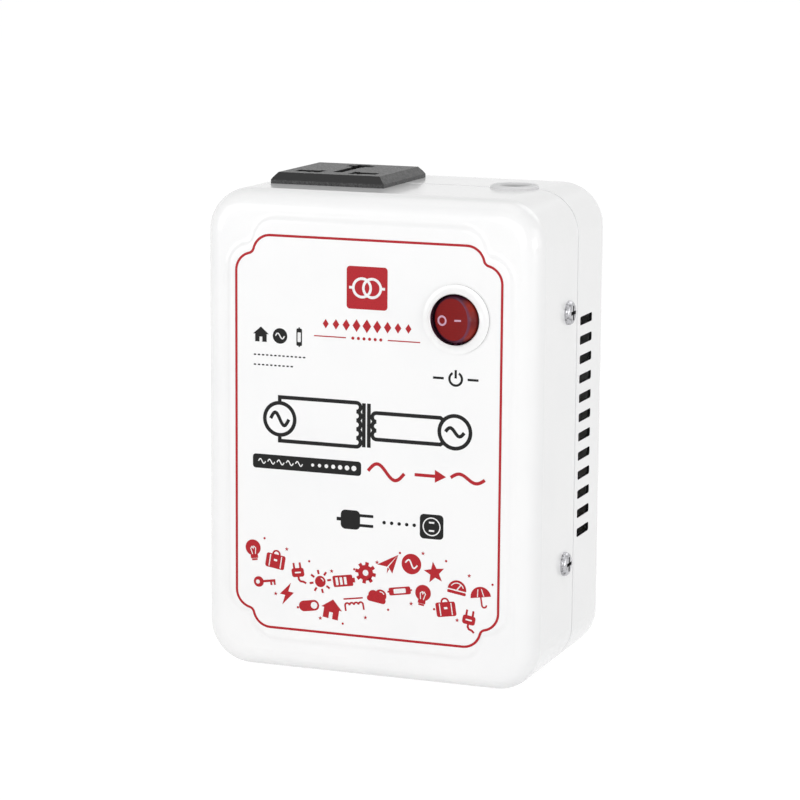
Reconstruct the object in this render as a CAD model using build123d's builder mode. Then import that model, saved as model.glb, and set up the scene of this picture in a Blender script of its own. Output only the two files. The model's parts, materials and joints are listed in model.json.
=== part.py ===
from build123d import *
import math
import os

os.makedirs("parts", exist_ok=True)

# Lengths are millimetres and angles degrees. X points right, Y to the back and Z up.
# The origin lies on the underside, below the middle of the case.

# Case: two drawn steel pans that meet at a seam
case_width = 120.0
case_height = 165.4
case_depth = 75.0
corner_radius = 15.0
edge_radius = 7.0
sheet = 1.0
front_depth = 41.0
seam_gap = 0.35
seam_soft = 0.6
lip_length = 6.0
lip_clearance = 0.15
overrun = 1.0

# Raised panel on the front, with stepped corners and soft edges
panel_side_margin = 8.6
panel_top_margin = 8.3
panel_bottom_margin = 10.3
panel_rise = 1.0
panel_slope = 1.7
panel_step = 9.0
panel_notch_radius = 2.6
panel_soft_radius = 2.6

# Vent slots in both sides of the rear pan
slot_count = 12
slot_pitch = 6.7
slot_length = 13.4
slot_height = 3.0
slot_corner = 0.8
slot_setback = 10.3
slot_lift = 1.0

# Screws that hold the pans together, two on each side
screw_setback = 10.1
screw_spacing = 86.4
screw_drop = 0.5
screw_head_radius = 4.1
screw_head_height = 1.9
screw_radius = 1.9
screw_length = 8.0
screw_clearance = 0.3
thread_clearance = 0.05
ear_reach = 6.5
ear_width = 15.0
recess_length = 5.0
recess_width = 1.2
recess_depth = 1.4

# Rocker switch
switch_side_margin = 28.4
switch_top_margin = 39.55
bezel_radius = 11.6
bezel_edge = 0.6
bezel_rise = 2.0
bezel_crown = 0.35
pivot_depth = 2.6
rocker_radius = 8.25
rocker_face_radius = 7.1
rocker_face_height = 3.1
rocker_skirt = 2.5
rocker_wall = 1.2
rocker_edge = 0.5
rocker_dish_radius = 38.0
rocker_dish = 0.75
rocker_tilt = 20.0
rocker_clearance = 0.3
pin_radius = 1.0
pin_length = 1.2
pin_clearance = 0.05
body_wall = 1.35
switch_hole_clearance = 0.2
well_depth = 12.2
switch_base = 1.2
wing_width = 4.0
wing_height = 4.0
wing_reach = 1.2
post_radius = 2.4
post_length = 4.0
plunger_radius = 1.4
plunger_reach = 8.3
plunger_length = 6.8
plunger_clearance = 0.1
spring_wire = 0.5
spring_room = 0.15

# Contacts, lamp and terminals in the switch
seesaw_depth = 8.8
seesaw_length = 13.0
seesaw_width = 4.4
seesaw_thickness = 0.6
seesaw_tilt = 8.0
button_radius = 1.2
button_height = 0.8
button_inset = 1.3
contact_clearance = 0.15
trunnion_radius = 0.5
trunnion_root = 0.4
fork_width = 2.6
fork_drop = 1.0
fork_rise = 1.1
fork_clearance = 0.2
blade_width = 4.8
blade_thickness = 0.8
blade_reach = 7.0
blade_pitch = 6.0
blade_clearance = 0.05
strip_thickness = 0.6
strip_length = 3.6
stub_height = 1.2
lamp_radius = 2.0
lamp_length = 6.8
lamp_x = 3.4
lamp_z = 4.9
resistor_radius = 1.2
resistor_length = 6.2

# Socket on the top
socket_side_margin = 36.6
plate_size = 41.5
plate_edge = 1.3
plate_bevel_height = 2.5
plate_bevel_inset = 2.2
plate_corner = 0.8
plate_wall = 3.0
socket_body = 35.0
socket_corner = 1.5
socket_clearance = 0.2
socket_skirt = 9.0
socket_wall = 1.5
snap_width = 10.0
snap_height = 4.5
snap_reach = 1.3
row_offset = 11.0
earth_offset = 22.2
flat_pin_spacing = 22.2
flat_pin_length = 7.4
flat_pin_width = 4.8
round_pin_spacing = 19.0
round_pin_radius = 2.6
blade_pin_spacing = 12.7
blade_pin_length = 7.4
blade_pin_width = 2.1
slant_pin_spacing = 15.8
slant_pin_angle = 30.0
earth_pin_length = 8.8
earth_cross_length = 9.6
earth_cross_width = 3.6
earth_slot_width = 3.4
base_height = 15.0
base_floor = 2.0
clip_gap = 4.9
clip_thickness = 0.4
clip_length = 9.2
clip_height = 17.0
clip_inner_end = 5.4
earth_clip_length = 19.0
pocket_clearance = 0.3
tab_width = 4.8
tab_thickness = 0.8
tab_reach = 6.0
socket_screw_spacing = 26.0
socket_screw_offset = 10.5
socket_screw_radius = 1.4
socket_screw_length = 20.0
socket_screw_head_radius = 2.7
socket_screw_head_height = 1.8
socket_post_radius = 3.3

# Cord bushing on the top, held between the pans
gland_side_margin = 23.0
gland_flange_radius = 8.2
gland_flange_height = 1.1
gland_neck_radius = 6.6
gland_neck_height = 2.45
gland_hole_clearance = 0.1
gland_inner_radius = 8.6
gland_inner_height = 2.0
gland_tail_radius = 6.0
gland_tail_length = 6.0
gland_bore_radius = 4.8
gland_mouth_radius = 6.0
gland_mouth_depth = 1.3
gland_soft = 0.5

# Transformer, as large as the room that the case leaves round it
core_side_room = 16.1
core_coil_room = 4.2
core_foot_room = 25.25
core_switch_room = 28.1
core_hole_inset = 3.6
bolt_radius = 2.0
bolt_clearance = 0.25
bolt_head_radius = 4.0
bolt_head_height = 2.4
bolt_spare = 1.5
spacer_radius = 4.0
washer_radius = 4.5
washer_height = 0.8
nut_radius = 4.04
nut_height = 3.2
bobbin_clearance = 0.25
bobbin_wall = 1.2
bobbin_corner = 2.0
flange_clearance = 0.65
flange_margin = 0.2
common_turns_share = 0.54
turns_clearance = 0.1
wrap_thickness = 0.6
cutout_length = 15.0
cutout_width = 6.4
cutout_thickness = 3.4
cutout_corner = 1.0
lug_thickness = 0.8
lug_radius = 4.4
lug_barrel_radius = 1.6
lug_barrel_length = 6.0

# Leads inside the case
lead_radius = 1.0
lead_hole_clearance = 0.1
lead_run = 9.0

# Levels and places worked out from the sizes
front_y = -case_depth / 2
back_y = case_depth / 2
seam_y = front_y + front_depth
middle_z = case_height / 2
lip_inset = sheet + lip_clearance
panel_face_y = front_y - panel_rise
panel_taper = math.degrees(math.atan(panel_slope / panel_rise))
pivot = Vector(
    case_width / 2 - switch_side_margin,
    panel_face_y - bezel_rise + pivot_depth,
    case_height - switch_top_margin,
)
core_width = case_width - 2 * (sheet + core_side_room)
core_leg = core_width / 3
core_window = core_leg / 2
core_stack = case_depth - 2 * (sheet + core_coil_room + core_window)
core_foot = sheet + core_foot_room
core_height = pivot.Z - core_switch_room - core_foot
core_lift = core_foot + core_height / 2
window_height = core_height - 2 * core_window
coil_centre = Vector(0, 0, core_lift)
socket_centre = Vector(socket_side_margin - case_width / 2, seam_y, case_height)
gland_centre = Vector(case_width / 2 - gland_side_margin, seam_y, case_height)


def facing(y, x=0.0, z=middle_z):
    """Plane at depth y that looks out of the front, with its origin at x and z."""
    return Plane(origin=(x, y, z), x_dir=(1, 0, 0), z_dir=(0, -1, 0))


def facing_back(y, x=0.0, z=middle_z):
    """Plane at depth y that looks out of the back."""
    return Plane(origin=(x, y, z), x_dir=(-1, 0, 0), z_dir=(0, 1, 0))


def facing_side(side, y, z):
    """Plane on the right side (1) or the left side (-1) of the case that looks outwards."""
    return Plane(origin=(side * case_width / 2, y, z), x_dir=(0, side, 0), z_dir=(side, 0, 0))


def level(centre, height=0.0):
    """Horizontal plane above or below a point."""
    return Plane(origin=(centre.X, centre.Y, centre.Z + height))


def profile(plane):
    """Upright plane through another plane's normal, for the half outline of a turned piece."""
    return Plane(origin=plane.origin, x_dir=plane.x_dir, z_dir=-plane.y_dir)


def spin(plane):
    """Turn the pending half outline about a plane's normal."""
    revolve(axis=Axis(plane.origin, plane.z_dir))


def write(piece, name):
    """Name a finished piece and write it."""
    piece.part.label = name
    export_step(piece.part, f"parts/{name}.step")


def pan_block(mouth_y, floor_y, inset):
    """A pan's outer or inner shape, rounded at its corners and round its floor."""
    with BuildPart() as block:
        with BuildSketch(facing(mouth_y)):
            RectangleRounded(case_width - 2 * inset, case_height - 2 * inset, corner_radius - inset)
        extrude(amount=mouth_y - floor_y)
        floor = block.faces().sort_by_distance((0, floor_y, middle_z))[0]
        fillet(floor.edges(), edge_radius - inset)
    return block.part


def stepped_outline(width, height, step, notch):
    """A rectangle whose corners are two round steps with a small hollow between them."""
    with BuildLine() as outline:
        Line((width / 2, 0), (width / 2, height / 2 - 2 * step))
        lower = CenterArc((width / 2 - step, height / 2 - 2 * step), step, 0, 90)
        upper = CenterArc((width / 2 - 2 * step, height / 2 - step), step, 0, 90)
        Line(upper @ 1, (0, height / 2))
        mirror(about=Plane.YZ)
        mirror(about=Plane.XZ)
    face = make_face(outline.edges())
    hollow = lower @ 1
    corners = [
        corner
        for corner in face.vertices()
        if abs(abs(corner.X) - hollow.X) < step / 10 and abs(abs(corner.Y) - hollow.Y) < step / 10
    ]
    fillet(corners, notch)


def cross_recess(length, width, depth):
    """Cross recess sunk from the current plane."""
    for size in ((length, width), (width, length)):
        Box(*size, depth, align=(Align.CENTER, Align.CENTER, Align.MAX), mode=Mode.SUBTRACT)


def pan_screw(plane, head, height, shank, length, recess_share):
    """Pan-head screw whose head sits on a plane and whose shank runs back from it."""
    with BuildPart(plane) as screw:
        Cylinder(head, height, align=(Align.CENTER, Align.CENTER, Align.MIN))
        top = screw.faces().sort_by(Axis(plane.origin, plane.z_dir))[-1]
        fillet(top.edges(), height * 3 / 4)
        with Locations((0, 0, height)):
            cross_recess(*(recess_share * size for size in (recess_length, recess_width, recess_depth)))
        Cylinder(shank, length, align=(Align.CENTER, Align.CENTER, Align.MAX))
    return screw.part


def ring(plane, outer, inner, height):
    """Round tube or washer that stands on a plane."""
    with BuildPart(plane) as tube:
        Cylinder(outer, height, align=(Align.CENTER, Align.CENTER, Align.MIN))
        Cylinder(inner, height, align=(Align.CENTER, Align.CENTER, Align.MIN), mode=Mode.SUBTRACT)
    return tube.part


# Front pan, with the raised panel, the switch hole and half of each top opening
panel_width = case_width - 2 * panel_side_margin
panel_height = case_height - panel_top_margin - panel_bottom_margin
panel_z = (case_height - panel_top_margin + panel_bottom_margin) / 2
well_radius = rocker_radius + rocker_clearance
switch_body_radius = well_radius + body_wall
switch_hole_radius = switch_body_radius + switch_hole_clearance
screw_y = seam_y - screw_setback
screw_heights = [middle_z - screw_drop + side * screw_spacing / 2 for side in (-1, 1)]
socket_hole = socket_body + 2 * socket_clearance
gland_hole_radius = gland_neck_radius + gland_hole_clearance


def top_openings():
    """Cut the square socket opening and the round cord opening across the seam."""
    with BuildSketch(level(socket_centre, overrun)) as square:
        RectangleRounded(socket_hole, socket_hole, socket_corner)
    with BuildSketch(level(gland_centre, overrun)) as round_hole:
        Circle(gland_hole_radius)
    for opening in (square, round_hole):
        extrude(opening.sketch, amount=-(lip_inset + sheet + 2 * overrun), mode=Mode.SUBTRACT)


with BuildPart() as front_cover:
    add(pan_block(seam_y, front_y, 0))
    fillet(front_cover.faces().sort_by(Axis.Y)[-1].edges(), seam_soft)
    with BuildSketch(facing(front_y, z=panel_z)):
        stepped_outline(panel_width, panel_height, panel_step, panel_notch_radius)
    extrude(amount=panel_rise, taper=panel_taper)
    panel_edges = front_cover.edges(Select.LAST)
    soft_edges = panel_edges.group_by(Axis.Y)[0] + panel_edges.group_by(Axis.Y)[-1]
    fillet(soft_edges, panel_soft_radius)
    add(pan_block(seam_y + overrun, front_y + sheet, sheet), mode=Mode.SUBTRACT)
    recess_inset = 2 * panel_slope + sheet
    with BuildSketch(facing(front_y + sheet, z=panel_z)):
        stepped_outline(
            panel_width - 2 * recess_inset,
            panel_height - 2 * recess_inset,
            panel_step,
            panel_notch_radius,
        )
    extrude(amount=panel_rise, mode=Mode.SUBTRACT)
    with BuildSketch(facing(front_y + 2 * sheet, pivot.X, pivot.Z)):
        Circle(switch_hole_radius)
    extrude(amount=2 * sheet + panel_rise + overrun, mode=Mode.SUBTRACT)
    with BuildSketch(Plane.YZ.offset(-case_width)):
        with Locations(*((screw_y, z) for z in screw_heights)):
            Circle(screw_radius + screw_clearance)
    extrude(amount=2 * case_width, mode=Mode.SUBTRACT)
    top_openings()
write(front_cover, "front_cover")

# Rear pan, with a stepped-in lip, screw ears, vent slots and four bolt holes
bolt_places = [
    (x * (core_width / 2 - core_hole_inset), core_lift + z * (core_height / 2 - core_hole_inset))
    for x in (-1, 1)
    for z in (-1, 1)
]
rear_mouth_y = seam_y + seam_gap
slot_y = seam_y + slot_setback
slot_z = middle_z + slot_lift


def lip_ring(start_y, end_y, inset, wall):
    """Band that follows the case outline, from one depth to another."""
    with BuildSketch(facing(end_y)) as band:
        for shrink, mode in ((inset, Mode.ADD), (inset + wall, Mode.SUBTRACT)):
            RectangleRounded(
                case_width - 2 * shrink, case_height - 2 * shrink, corner_radius - shrink, mode=mode
            )
    extrude(band.sketch, amount=end_y - start_y)


with BuildPart() as rear_cover:
    add(pan_block(rear_mouth_y, back_y, 0))
    fillet(rear_cover.faces().sort_by(Axis.Y)[0].edges(), seam_soft)
    add(pan_block(rear_mouth_y, back_y - sheet, sheet), mode=Mode.SUBTRACT)
    lip_ring(rear_mouth_y, rear_mouth_y + sheet, seam_soft + lip_clearance, lip_inset + sheet - seam_soft - lip_clearance)
    lip_ring(seam_y - lip_length, rear_mouth_y + sheet, lip_inset, sheet)
    ear_depth = screw_setback + ear_reach
    for side in (-1, 1):
        for z in screw_heights:
            with Locations((side * (case_width / 2 - lip_inset - sheet / 2), seam_y, z)):
                Box(sheet, ear_depth, ear_width, align=(Align.CENTER, Align.MAX, Align.CENTER))
    with BuildSketch(Plane.YZ.offset(-case_width)):
        with Locations(*((screw_y, z) for z in screw_heights)):
            Circle(screw_radius + thread_clearance)
        with Locations((slot_y, slot_z)):
            with GridLocations(slot_length, slot_pitch, 1, slot_count):
                RectangleRounded(slot_length, slot_height, slot_corner)
    extrude(amount=2 * case_width, mode=Mode.SUBTRACT)
    with BuildSketch(facing(back_y + overrun, z=0)):
        with Locations(*bolt_places):
            Circle(bolt_radius + bolt_clearance)
    extrude(amount=2 * overrun + sheet, mode=Mode.SUBTRACT)
    top_openings()
write(rear_cover, "rear_cover")

with BuildPart() as cover_screws:
    for side in (-1, 1):
        for z in screw_heights:
            add(
                pan_screw(
                    facing_side(side, screw_y, z),
                    screw_head_radius,
                    screw_head_height,
                    screw_radius,
                    screw_length,
                    recess_share=1,
                )
            )
write(cover_screws, "cover_screws")


# Rocker switch. Its planes have X to the right, Y up and Z out of the front
def switch_plane(turn=0.0):
    """Plane at the rocker's pivot, turned about the pivot pins."""
    angle = math.radians(turn)
    return Plane(
        origin=pivot,
        x_dir=(math.cos(angle), math.sin(angle), 0),
        z_dir=(math.sin(angle), -math.cos(angle), 0),
    )


upright = switch_plane()
bezel_seat = pivot_depth - bezel_rise
well_floor = -well_depth
body_floor = well_floor - switch_base
blade_places = {"switched": -blade_pitch, "common": 0.0, "lamp": blade_pitch}

with BuildPart() as switch_housing:
    with BuildSketch(profile(upright)):
        with BuildLine():
            inner_crest = (well_radius + bezel_crown, pivot_depth)
            rim_top = (bezel_radius, bezel_seat + bezel_edge)
            SagittaArc(inner_crest, rim_top, -bezel_crown)
            Polyline(
                rim_top,
                (bezel_radius, bezel_seat),
                (switch_body_radius, bezel_seat),
                (switch_body_radius, body_floor),
                (0, body_floor),
                (0, well_floor),
                (well_radius, well_floor),
                (well_radius, pivot_depth - bezel_crown),
                inner_crest,
            )
        make_face()
    spin(upright)
    for side in (-1, 1):
        with BuildSketch(profile(upright).offset(-wing_width / 2)):
            with BuildLine():
                wing_top = bezel_seat - panel_rise - sheet - lip_clearance
                Polyline(
                    (side * (switch_body_radius - body_wall / 2), wing_top),
                    (side * (switch_body_radius + wing_reach), wing_top),
                    (side * (switch_body_radius - body_wall / 2), wing_top - wing_height),
                    close=True,
                )
            make_face()
        extrude(amount=wing_width)
    with BuildSketch(upright.offset(well_floor)):
        with Locations(*((x, 0) for x in blade_places.values())):
            Rectangle(blade_thickness + 2 * blade_clearance, blade_width + 2 * blade_clearance)
    extrude(amount=-(switch_base + overrun), mode=Mode.SUBTRACT)
    with BuildSketch(Plane.XY.offset(pivot.Z - bezel_radius)):
        with Locations((pivot.X, pivot.Y)):
            Circle(pin_radius + pin_clearance)
    extrude(amount=2 * bezel_radius, mode=Mode.SUBTRACT)
write(switch_housing, "switch_housing")

# Rocker: a hollow cap on two pins, a ball below them and rounded in to its face above them.
# It is shown with its left side pressed in
tilted = switch_plane(-rocker_tilt)
rim_step = rocker_radius - rocker_face_radius
rim_radius = (rim_step**2 + rocker_face_height**2) / (2 * rim_step)
rim_centre = rocker_radius - rim_radius
shell_radius = rocker_radius - rocker_wall
ceiling = rocker_face_height - rocker_dish - rocker_wall
bore_radius = plunger_radius + plunger_clearance

with BuildPart(tilted) as rocker:
    with BuildSketch(profile(tilted)):
        with BuildLine():
            skirt_angle = math.degrees(math.asin(rocker_skirt / rocker_radius))
            inner_skirt_angle = math.degrees(math.asin(rocker_skirt / shell_radius))
            rim_angle = math.degrees(math.asin(rocker_face_height / rim_radius))
            ceiling_angle = math.degrees(math.asin(ceiling / (rim_radius - rocker_wall)))
            skirt = CenterArc((0, 0), rocker_radius, -skirt_angle, skirt_angle)
            rim = CenterArc((rim_centre, 0), rim_radius, 0, rim_angle)
            inner_skirt = CenterArc((0, 0), shell_radius, -inner_skirt_angle, inner_skirt_angle)
            inner_rim = CenterArc((rim_centre, 0), rim_radius - rocker_wall, 0, ceiling_angle)
            Polyline(rim @ 1, (0, rocker_face_height), (0, ceiling), inner_rim @ 1)
            Line(inner_skirt @ 0, skirt @ 0)
        make_face()
    spin(tilted)
    with Locations((0, 0, ceiling + rocker_wall / 2)):
        Cylinder(
            post_radius,
            ceiling + rocker_wall / 2 + post_length,
            align=(Align.CENTER, Align.CENTER, Align.MAX),
        )
    with Locations((0, 0, -post_length)):
        Cylinder(
            bore_radius,
            post_length + ceiling,
            align=(Align.CENTER, Align.CENTER, Align.MIN),
            mode=Mode.SUBTRACT,
        )
    with Locations((0, 0, rocker_face_height - rocker_dish + rocker_dish_radius)):
        Cylinder(rocker_dish_radius, 2 * rocker_radius, rotation=(90, 0, 0), mode=Mode.SUBTRACT)
    dish = rocker.faces().sort_by(Axis(tilted.origin, tilted.z_dir))[-1]
    fillet(dish.edges(), rocker_edge)
    for side in (-1, 1):
        with Locations((0, side * (rocker_radius - rocker_wall / 2), 0)):
            Cylinder(
                pin_radius,
                rocker_wall / 2 + pin_length,
                rotation=(-90 * side, 0, 0),
                align=(Align.CENTER, Align.CENTER, Align.MIN),
            )
write(rocker, "rocker")

with BuildPart(tilted) as rocker_plunger:
    with Locations((0, 0, -plunger_reach)):
        Cylinder(plunger_radius, plunger_length, align=(Align.CENTER, Align.CENTER, Align.MIN))
    tip = rocker_plunger.faces().sort_by(Axis(tilted.origin, tilted.z_dir))[0]
    fillet(tip.edges(), plunger_radius * 3 / 4)
write(rocker_plunger, "rocker_plunger")

spring_foot = plunger_length - plunger_reach
with BuildPart() as plunger_spring:
    add(
        ring(
            tilted.offset(spring_foot),
            plunger_radius,
            plunger_radius - spring_wire,
            ceiling - spring_foot - spring_room,
        )
    )
write(plunger_spring, "plunger_spring")

# Contact bridge that the plunger rocks the other way
bridge_plane = Plane(
    origin=pivot + Vector(0, seesaw_depth, 0),
    x_dir=switch_plane(seesaw_tilt).x_dir,
    z_dir=switch_plane(seesaw_tilt).z_dir,
)
button_x = seesaw_length / 2 - button_inset
with BuildPart(bridge_plane) as seesaw_contact:
    Box(seesaw_length, seesaw_width, seesaw_thickness)
    with Locations((-button_x, 0, -seesaw_thickness / 2)):
        Cylinder(button_radius, button_height, align=(Align.CENTER, Align.CENTER, Align.MAX))
    for side in (-1, 1):
        with Locations((0, side * (seesaw_width / 2 - trunnion_root), 0)):
            Cylinder(
                trunnion_radius,
                trunnion_root + fork_clearance + strip_thickness,
                rotation=(-90 * side, 0, 0),
                align=(Align.CENTER, Align.CENTER, Align.MIN),
            )
write(seesaw_contact, "seesaw_contact")

blade_foot = body_floor - blade_reach
button_drop = button_x * math.sin(math.radians(seesaw_tilt))
pad_top = -seesaw_depth - seesaw_thickness / 2 - button_height - button_drop - contact_clearance
strip_top = pad_top - button_height
fork_floor = -seesaw_depth - fork_drop
fork_span = seesaw_width + 2 * (fork_clearance + strip_thickness)


def blade(place, top):
    """Flat terminal blade through the switch's floor."""
    with Locations((place, 0, blade_foot)):
        Box(
            blade_thickness,
            blade_width,
            top - blade_foot,
            align=(Align.CENTER, Align.CENTER, Align.MIN),
        )


# The middle blade ends in a fork, and the contact bridge rocks on its trunnions in the fork's holes
with BuildPart(upright) as common_terminal:
    blade(blade_places["common"], fork_floor)
    with Locations((0, 0, fork_floor)):
        Box(fork_width, fork_span, strip_thickness, align=(Align.CENTER, Align.CENTER, Align.MAX))
    for side in (-1, 1):
        with Locations((0, side * (fork_span - strip_thickness) / 2, fork_floor - strip_thickness)):
            Box(
                fork_width,
                strip_thickness,
                strip_thickness + fork_drop + fork_rise,
                align=(Align.CENTER, Align.CENTER, Align.MIN),
            )
    with Locations((0, 0, -seesaw_depth)):
        Cylinder(
            trunnion_radius + pin_clearance,
            fork_span + overrun,
            rotation=(90, 0, 0),
            mode=Mode.SUBTRACT,
        )
write(common_terminal, "common_terminal")

with BuildPart(upright) as switched_terminal:
    blade(blade_places["switched"], strip_top)
    with Locations((blade_places["switched"] - blade_thickness / 2, 0, strip_top)):
        Box(
            strip_length,
            blade_width,
            strip_thickness,
            align=(Align.MIN, Align.CENTER, Align.MAX),
        )
    with Locations((-button_x, 0, strip_top)):
        Cylinder(button_radius, button_height, align=(Align.CENTER, Align.CENTER, Align.MIN))
write(switched_terminal, "switched_terminal")

with BuildPart(upright) as lamp_terminal:
    blade(blade_places["lamp"], well_floor + stub_height)
write(lamp_terminal, "lamp_terminal")

with BuildPart(upright) as neon_lamp:
    with Locations((lamp_x, lamp_z, well_floor)):
        Cylinder(lamp_radius, lamp_length, align=(Align.CENTER, Align.CENTER, Align.MIN))
    dome = neon_lamp.faces().sort_by(Axis(upright.origin, upright.z_dir))[-1]
    fillet(dome.edges(), lamp_radius * 3 / 4)
write(neon_lamp, "neon_lamp")

with BuildPart(upright) as lamp_resistor:
    with Locations((-lamp_x, lamp_z, well_floor)):
        Cylinder(resistor_radius, resistor_length, align=(Align.CENTER, Align.CENTER, Align.MIN))
    fillet(lamp_resistor.edges().filter_by(GeomType.CIRCLE), resistor_radius / 4)
write(lamp_resistor, "lamp_resistor")

# Socket. Its planes lie on the top of the case, with X to the right and Y to the back
row_y = -row_offset
earth_y = row_y + earth_offset
plate_height = plate_edge + plate_bevel_height
cavity_top = plate_height - plate_wall
clip_foot = -socket_skirt - base_height + base_floor
socket_floor = -socket_skirt - base_height
socket_screw_places = [(side * socket_screw_spacing / 2, socket_screw_offset) for side in (-1, 1)]


def pin_openings():
    """Sketch the pin holes: flat, round, straight and slanted pins share two wide openings."""
    for side in (-1, 1):
        with Locations((side * flat_pin_spacing / 2, row_y)):
            Rectangle(flat_pin_length, flat_pin_width)
        with Locations((side * round_pin_spacing / 2, row_y)):
            Circle(round_pin_radius)
        with Locations((side * blade_pin_spacing / 2, row_y)):
            Rectangle(blade_pin_width, blade_pin_length)
        with Locations((side * slant_pin_spacing / 2, row_y)):
            Rectangle(blade_pin_width, blade_pin_length, rotation=side * slant_pin_angle)
    with Locations((0, (row_y + earth_y) / 2)):
        Rectangle(earth_slot_width, earth_offset)
    with Locations((0, earth_y)):
        Circle(round_pin_radius)
        Rectangle(flat_pin_width, earth_pin_length)
        Rectangle(earth_cross_length, earth_cross_width)


with BuildPart(level(socket_centre)) as socket_cover:
    with BuildSketch(level(socket_centre)):
        RectangleRounded(plate_size, plate_size, plate_corner)
    extrude(amount=plate_edge)
    with BuildSketch(level(socket_centre, plate_edge)):
        RectangleRounded(plate_size, plate_size, plate_corner)
    extrude(
        amount=plate_bevel_height,
        taper=math.degrees(math.atan(plate_bevel_inset / plate_bevel_height)),
    )
    with BuildSketch(level(socket_centre)):
        RectangleRounded(socket_body, socket_body, socket_corner)
    extrude(amount=-socket_skirt)
    with BuildSketch(level(socket_centre, -socket_skirt)):
        Rectangle(socket_body - 2 * socket_wall, socket_body - 2 * socket_wall)
    extrude(amount=socket_skirt + cavity_top, mode=Mode.SUBTRACT)
    with BuildSketch(level(socket_centre, -socket_skirt)):
        with Locations(*socket_screw_places):
            Circle(socket_post_radius)
            Circle(socket_screw_radius + thread_clearance, mode=Mode.SUBTRACT)
    extrude(amount=socket_skirt + cavity_top)
    with BuildSketch(level(socket_centre, cavity_top - overrun)):
        pin_openings()
    extrude(amount=plate_wall + 2 * overrun, mode=Mode.SUBTRACT)
    for side in (-1, 1):
        with BuildSketch(Plane.XZ.offset(snap_width / 2 - seam_y)):
            with BuildLine():
                snap_top = case_height - sheet - lip_inset - lip_clearance
                snap_x = socket_centre.X + side * (socket_body / 2 - socket_wall / 2)
                Polyline(
                    (snap_x, snap_top),
                    (snap_x + side * (socket_wall / 2 + snap_reach), snap_top),
                    (snap_x, snap_top - snap_height),
                    close=True,
                )
            make_face()
        extrude(amount=-snap_width)
write(socket_cover, "socket_cover")

with BuildPart(level(socket_centre)) as socket_base:
    with BuildSketch(level(socket_centre, -socket_skirt)):
        RectangleRounded(socket_body, socket_body, socket_corner)
    extrude(amount=-base_height)
    with BuildSketch(level(socket_centre, -socket_skirt)):
        pocket_width = clip_gap + 2 * (clip_thickness + pocket_clearance)
        pocket_length = clip_length + 2 * pocket_clearance
        for side in (-1, 1):
            with Locations((side * (clip_inner_end + clip_length / 2), row_y)):
                Rectangle(pocket_length, pocket_width)
        with Locations((0, earth_y - earth_clip_length / 2 + earth_pin_length / 2)):
            Rectangle(pocket_width, earth_clip_length + 2 * pocket_clearance)
    extrude(amount=-(base_height - base_floor), mode=Mode.SUBTRACT)
    with BuildSketch(level(socket_centre, -socket_skirt)):
        with Locations(*socket_screw_places):
            Circle(socket_screw_radius + screw_clearance)
    extrude(amount=-(base_height + overrun), mode=Mode.SUBTRACT)
    with BuildSketch(level(socket_centre, socket_floor)):
        with Locations(
            *((side * (clip_inner_end + clip_length / 2), row_y) for side in (-1, 1)),
        ):
            Rectangle(tab_width + 2 * blade_clearance, tab_thickness + 2 * blade_clearance)
        with Locations((0, earth_y - earth_clip_length / 2 + earth_pin_length / 2)):
            Rectangle(tab_thickness + 2 * blade_clearance, tab_width + 2 * blade_clearance)
    extrude(amount=base_floor + overrun, mode=Mode.SUBTRACT)
write(socket_base, "socket_base")


def spring_clip(x, y, length, along_x):
    """U-shaped contact clip with a terminal tab under it, lying along X or along Y."""
    outer = clip_gap + 2 * clip_thickness

    def size(along, across):
        return (along, across) if along_x else (across, along)

    with BuildPart(level(socket_centre, clip_foot)) as clip:
        with Locations((x, y, 0)):
            Box(*size(length, outer), clip_height, align=(Align.CENTER, Align.CENTER, Align.MIN))
        with Locations((x, y, clip_thickness)):
            Box(
                *size(length + 2 * overrun, clip_gap),
                clip_height,
                align=(Align.CENTER, Align.CENTER, Align.MIN),
                mode=Mode.SUBTRACT,
            )
        with Locations((x, y, 0)):
            Box(
                *size(tab_width, tab_thickness),
                base_floor + tab_reach,
                align=(Align.CENTER, Align.CENTER, Align.MAX),
            )
    return clip


clip_x = clip_inner_end + clip_length / 2
earth_clip_y = earth_y - earth_clip_length / 2 + earth_pin_length / 2
live_contact = spring_clip(clip_x, row_y, clip_length, along_x=True)
write(live_contact, "live_contact")
neutral_contact = spring_clip(-clip_x, row_y, clip_length, along_x=True)
write(neutral_contact, "neutral_contact")
earth_contact = spring_clip(0, earth_clip_y, earth_clip_length, along_x=False)
write(earth_contact, "earth_contact")

with BuildPart() as socket_screws:
    for x, y in socket_screw_places:
        seat = Plane(
            origin=(socket_centre.X + x, socket_centre.Y + y, socket_centre.Z + socket_floor),
            z_dir=(0, 0, -1),
        )
        add(
            pan_screw(
                seat,
                socket_screw_head_radius,
                socket_screw_head_height,
                socket_screw_radius,
                socket_screw_length,
                recess_share=socket_screw_head_radius / screw_head_radius,
            )
        )
write(socket_screws, "socket_screws")

# Cord bushing: the sheet edges sit in its groove, and the cord goes through its bore
gland_plane = level(gland_centre)
with BuildPart() as cord_gland:
    with BuildSketch(profile(gland_plane)):
        with BuildLine():
            neck_foot = -gland_neck_height
            tail_top = neck_foot - gland_inner_height
            tail_foot = tail_top - gland_tail_length
            Polyline(
                (gland_mouth_radius, gland_flange_height),
                (gland_flange_radius - gland_soft, gland_flange_height),
                (gland_flange_radius, gland_flange_height - gland_soft),
                (gland_flange_radius, 0),
                (gland_neck_radius, 0),
                (gland_neck_radius, neck_foot),
                (gland_inner_radius, neck_foot),
                (gland_inner_radius, tail_top),
                (gland_tail_radius, tail_foot),
                (gland_bore_radius, tail_foot),
                (gland_bore_radius, gland_flange_height - gland_mouth_depth),
                close=True,
            )
        make_face()
    spin(gland_plane)
write(cord_gland, "cord_gland")

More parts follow.
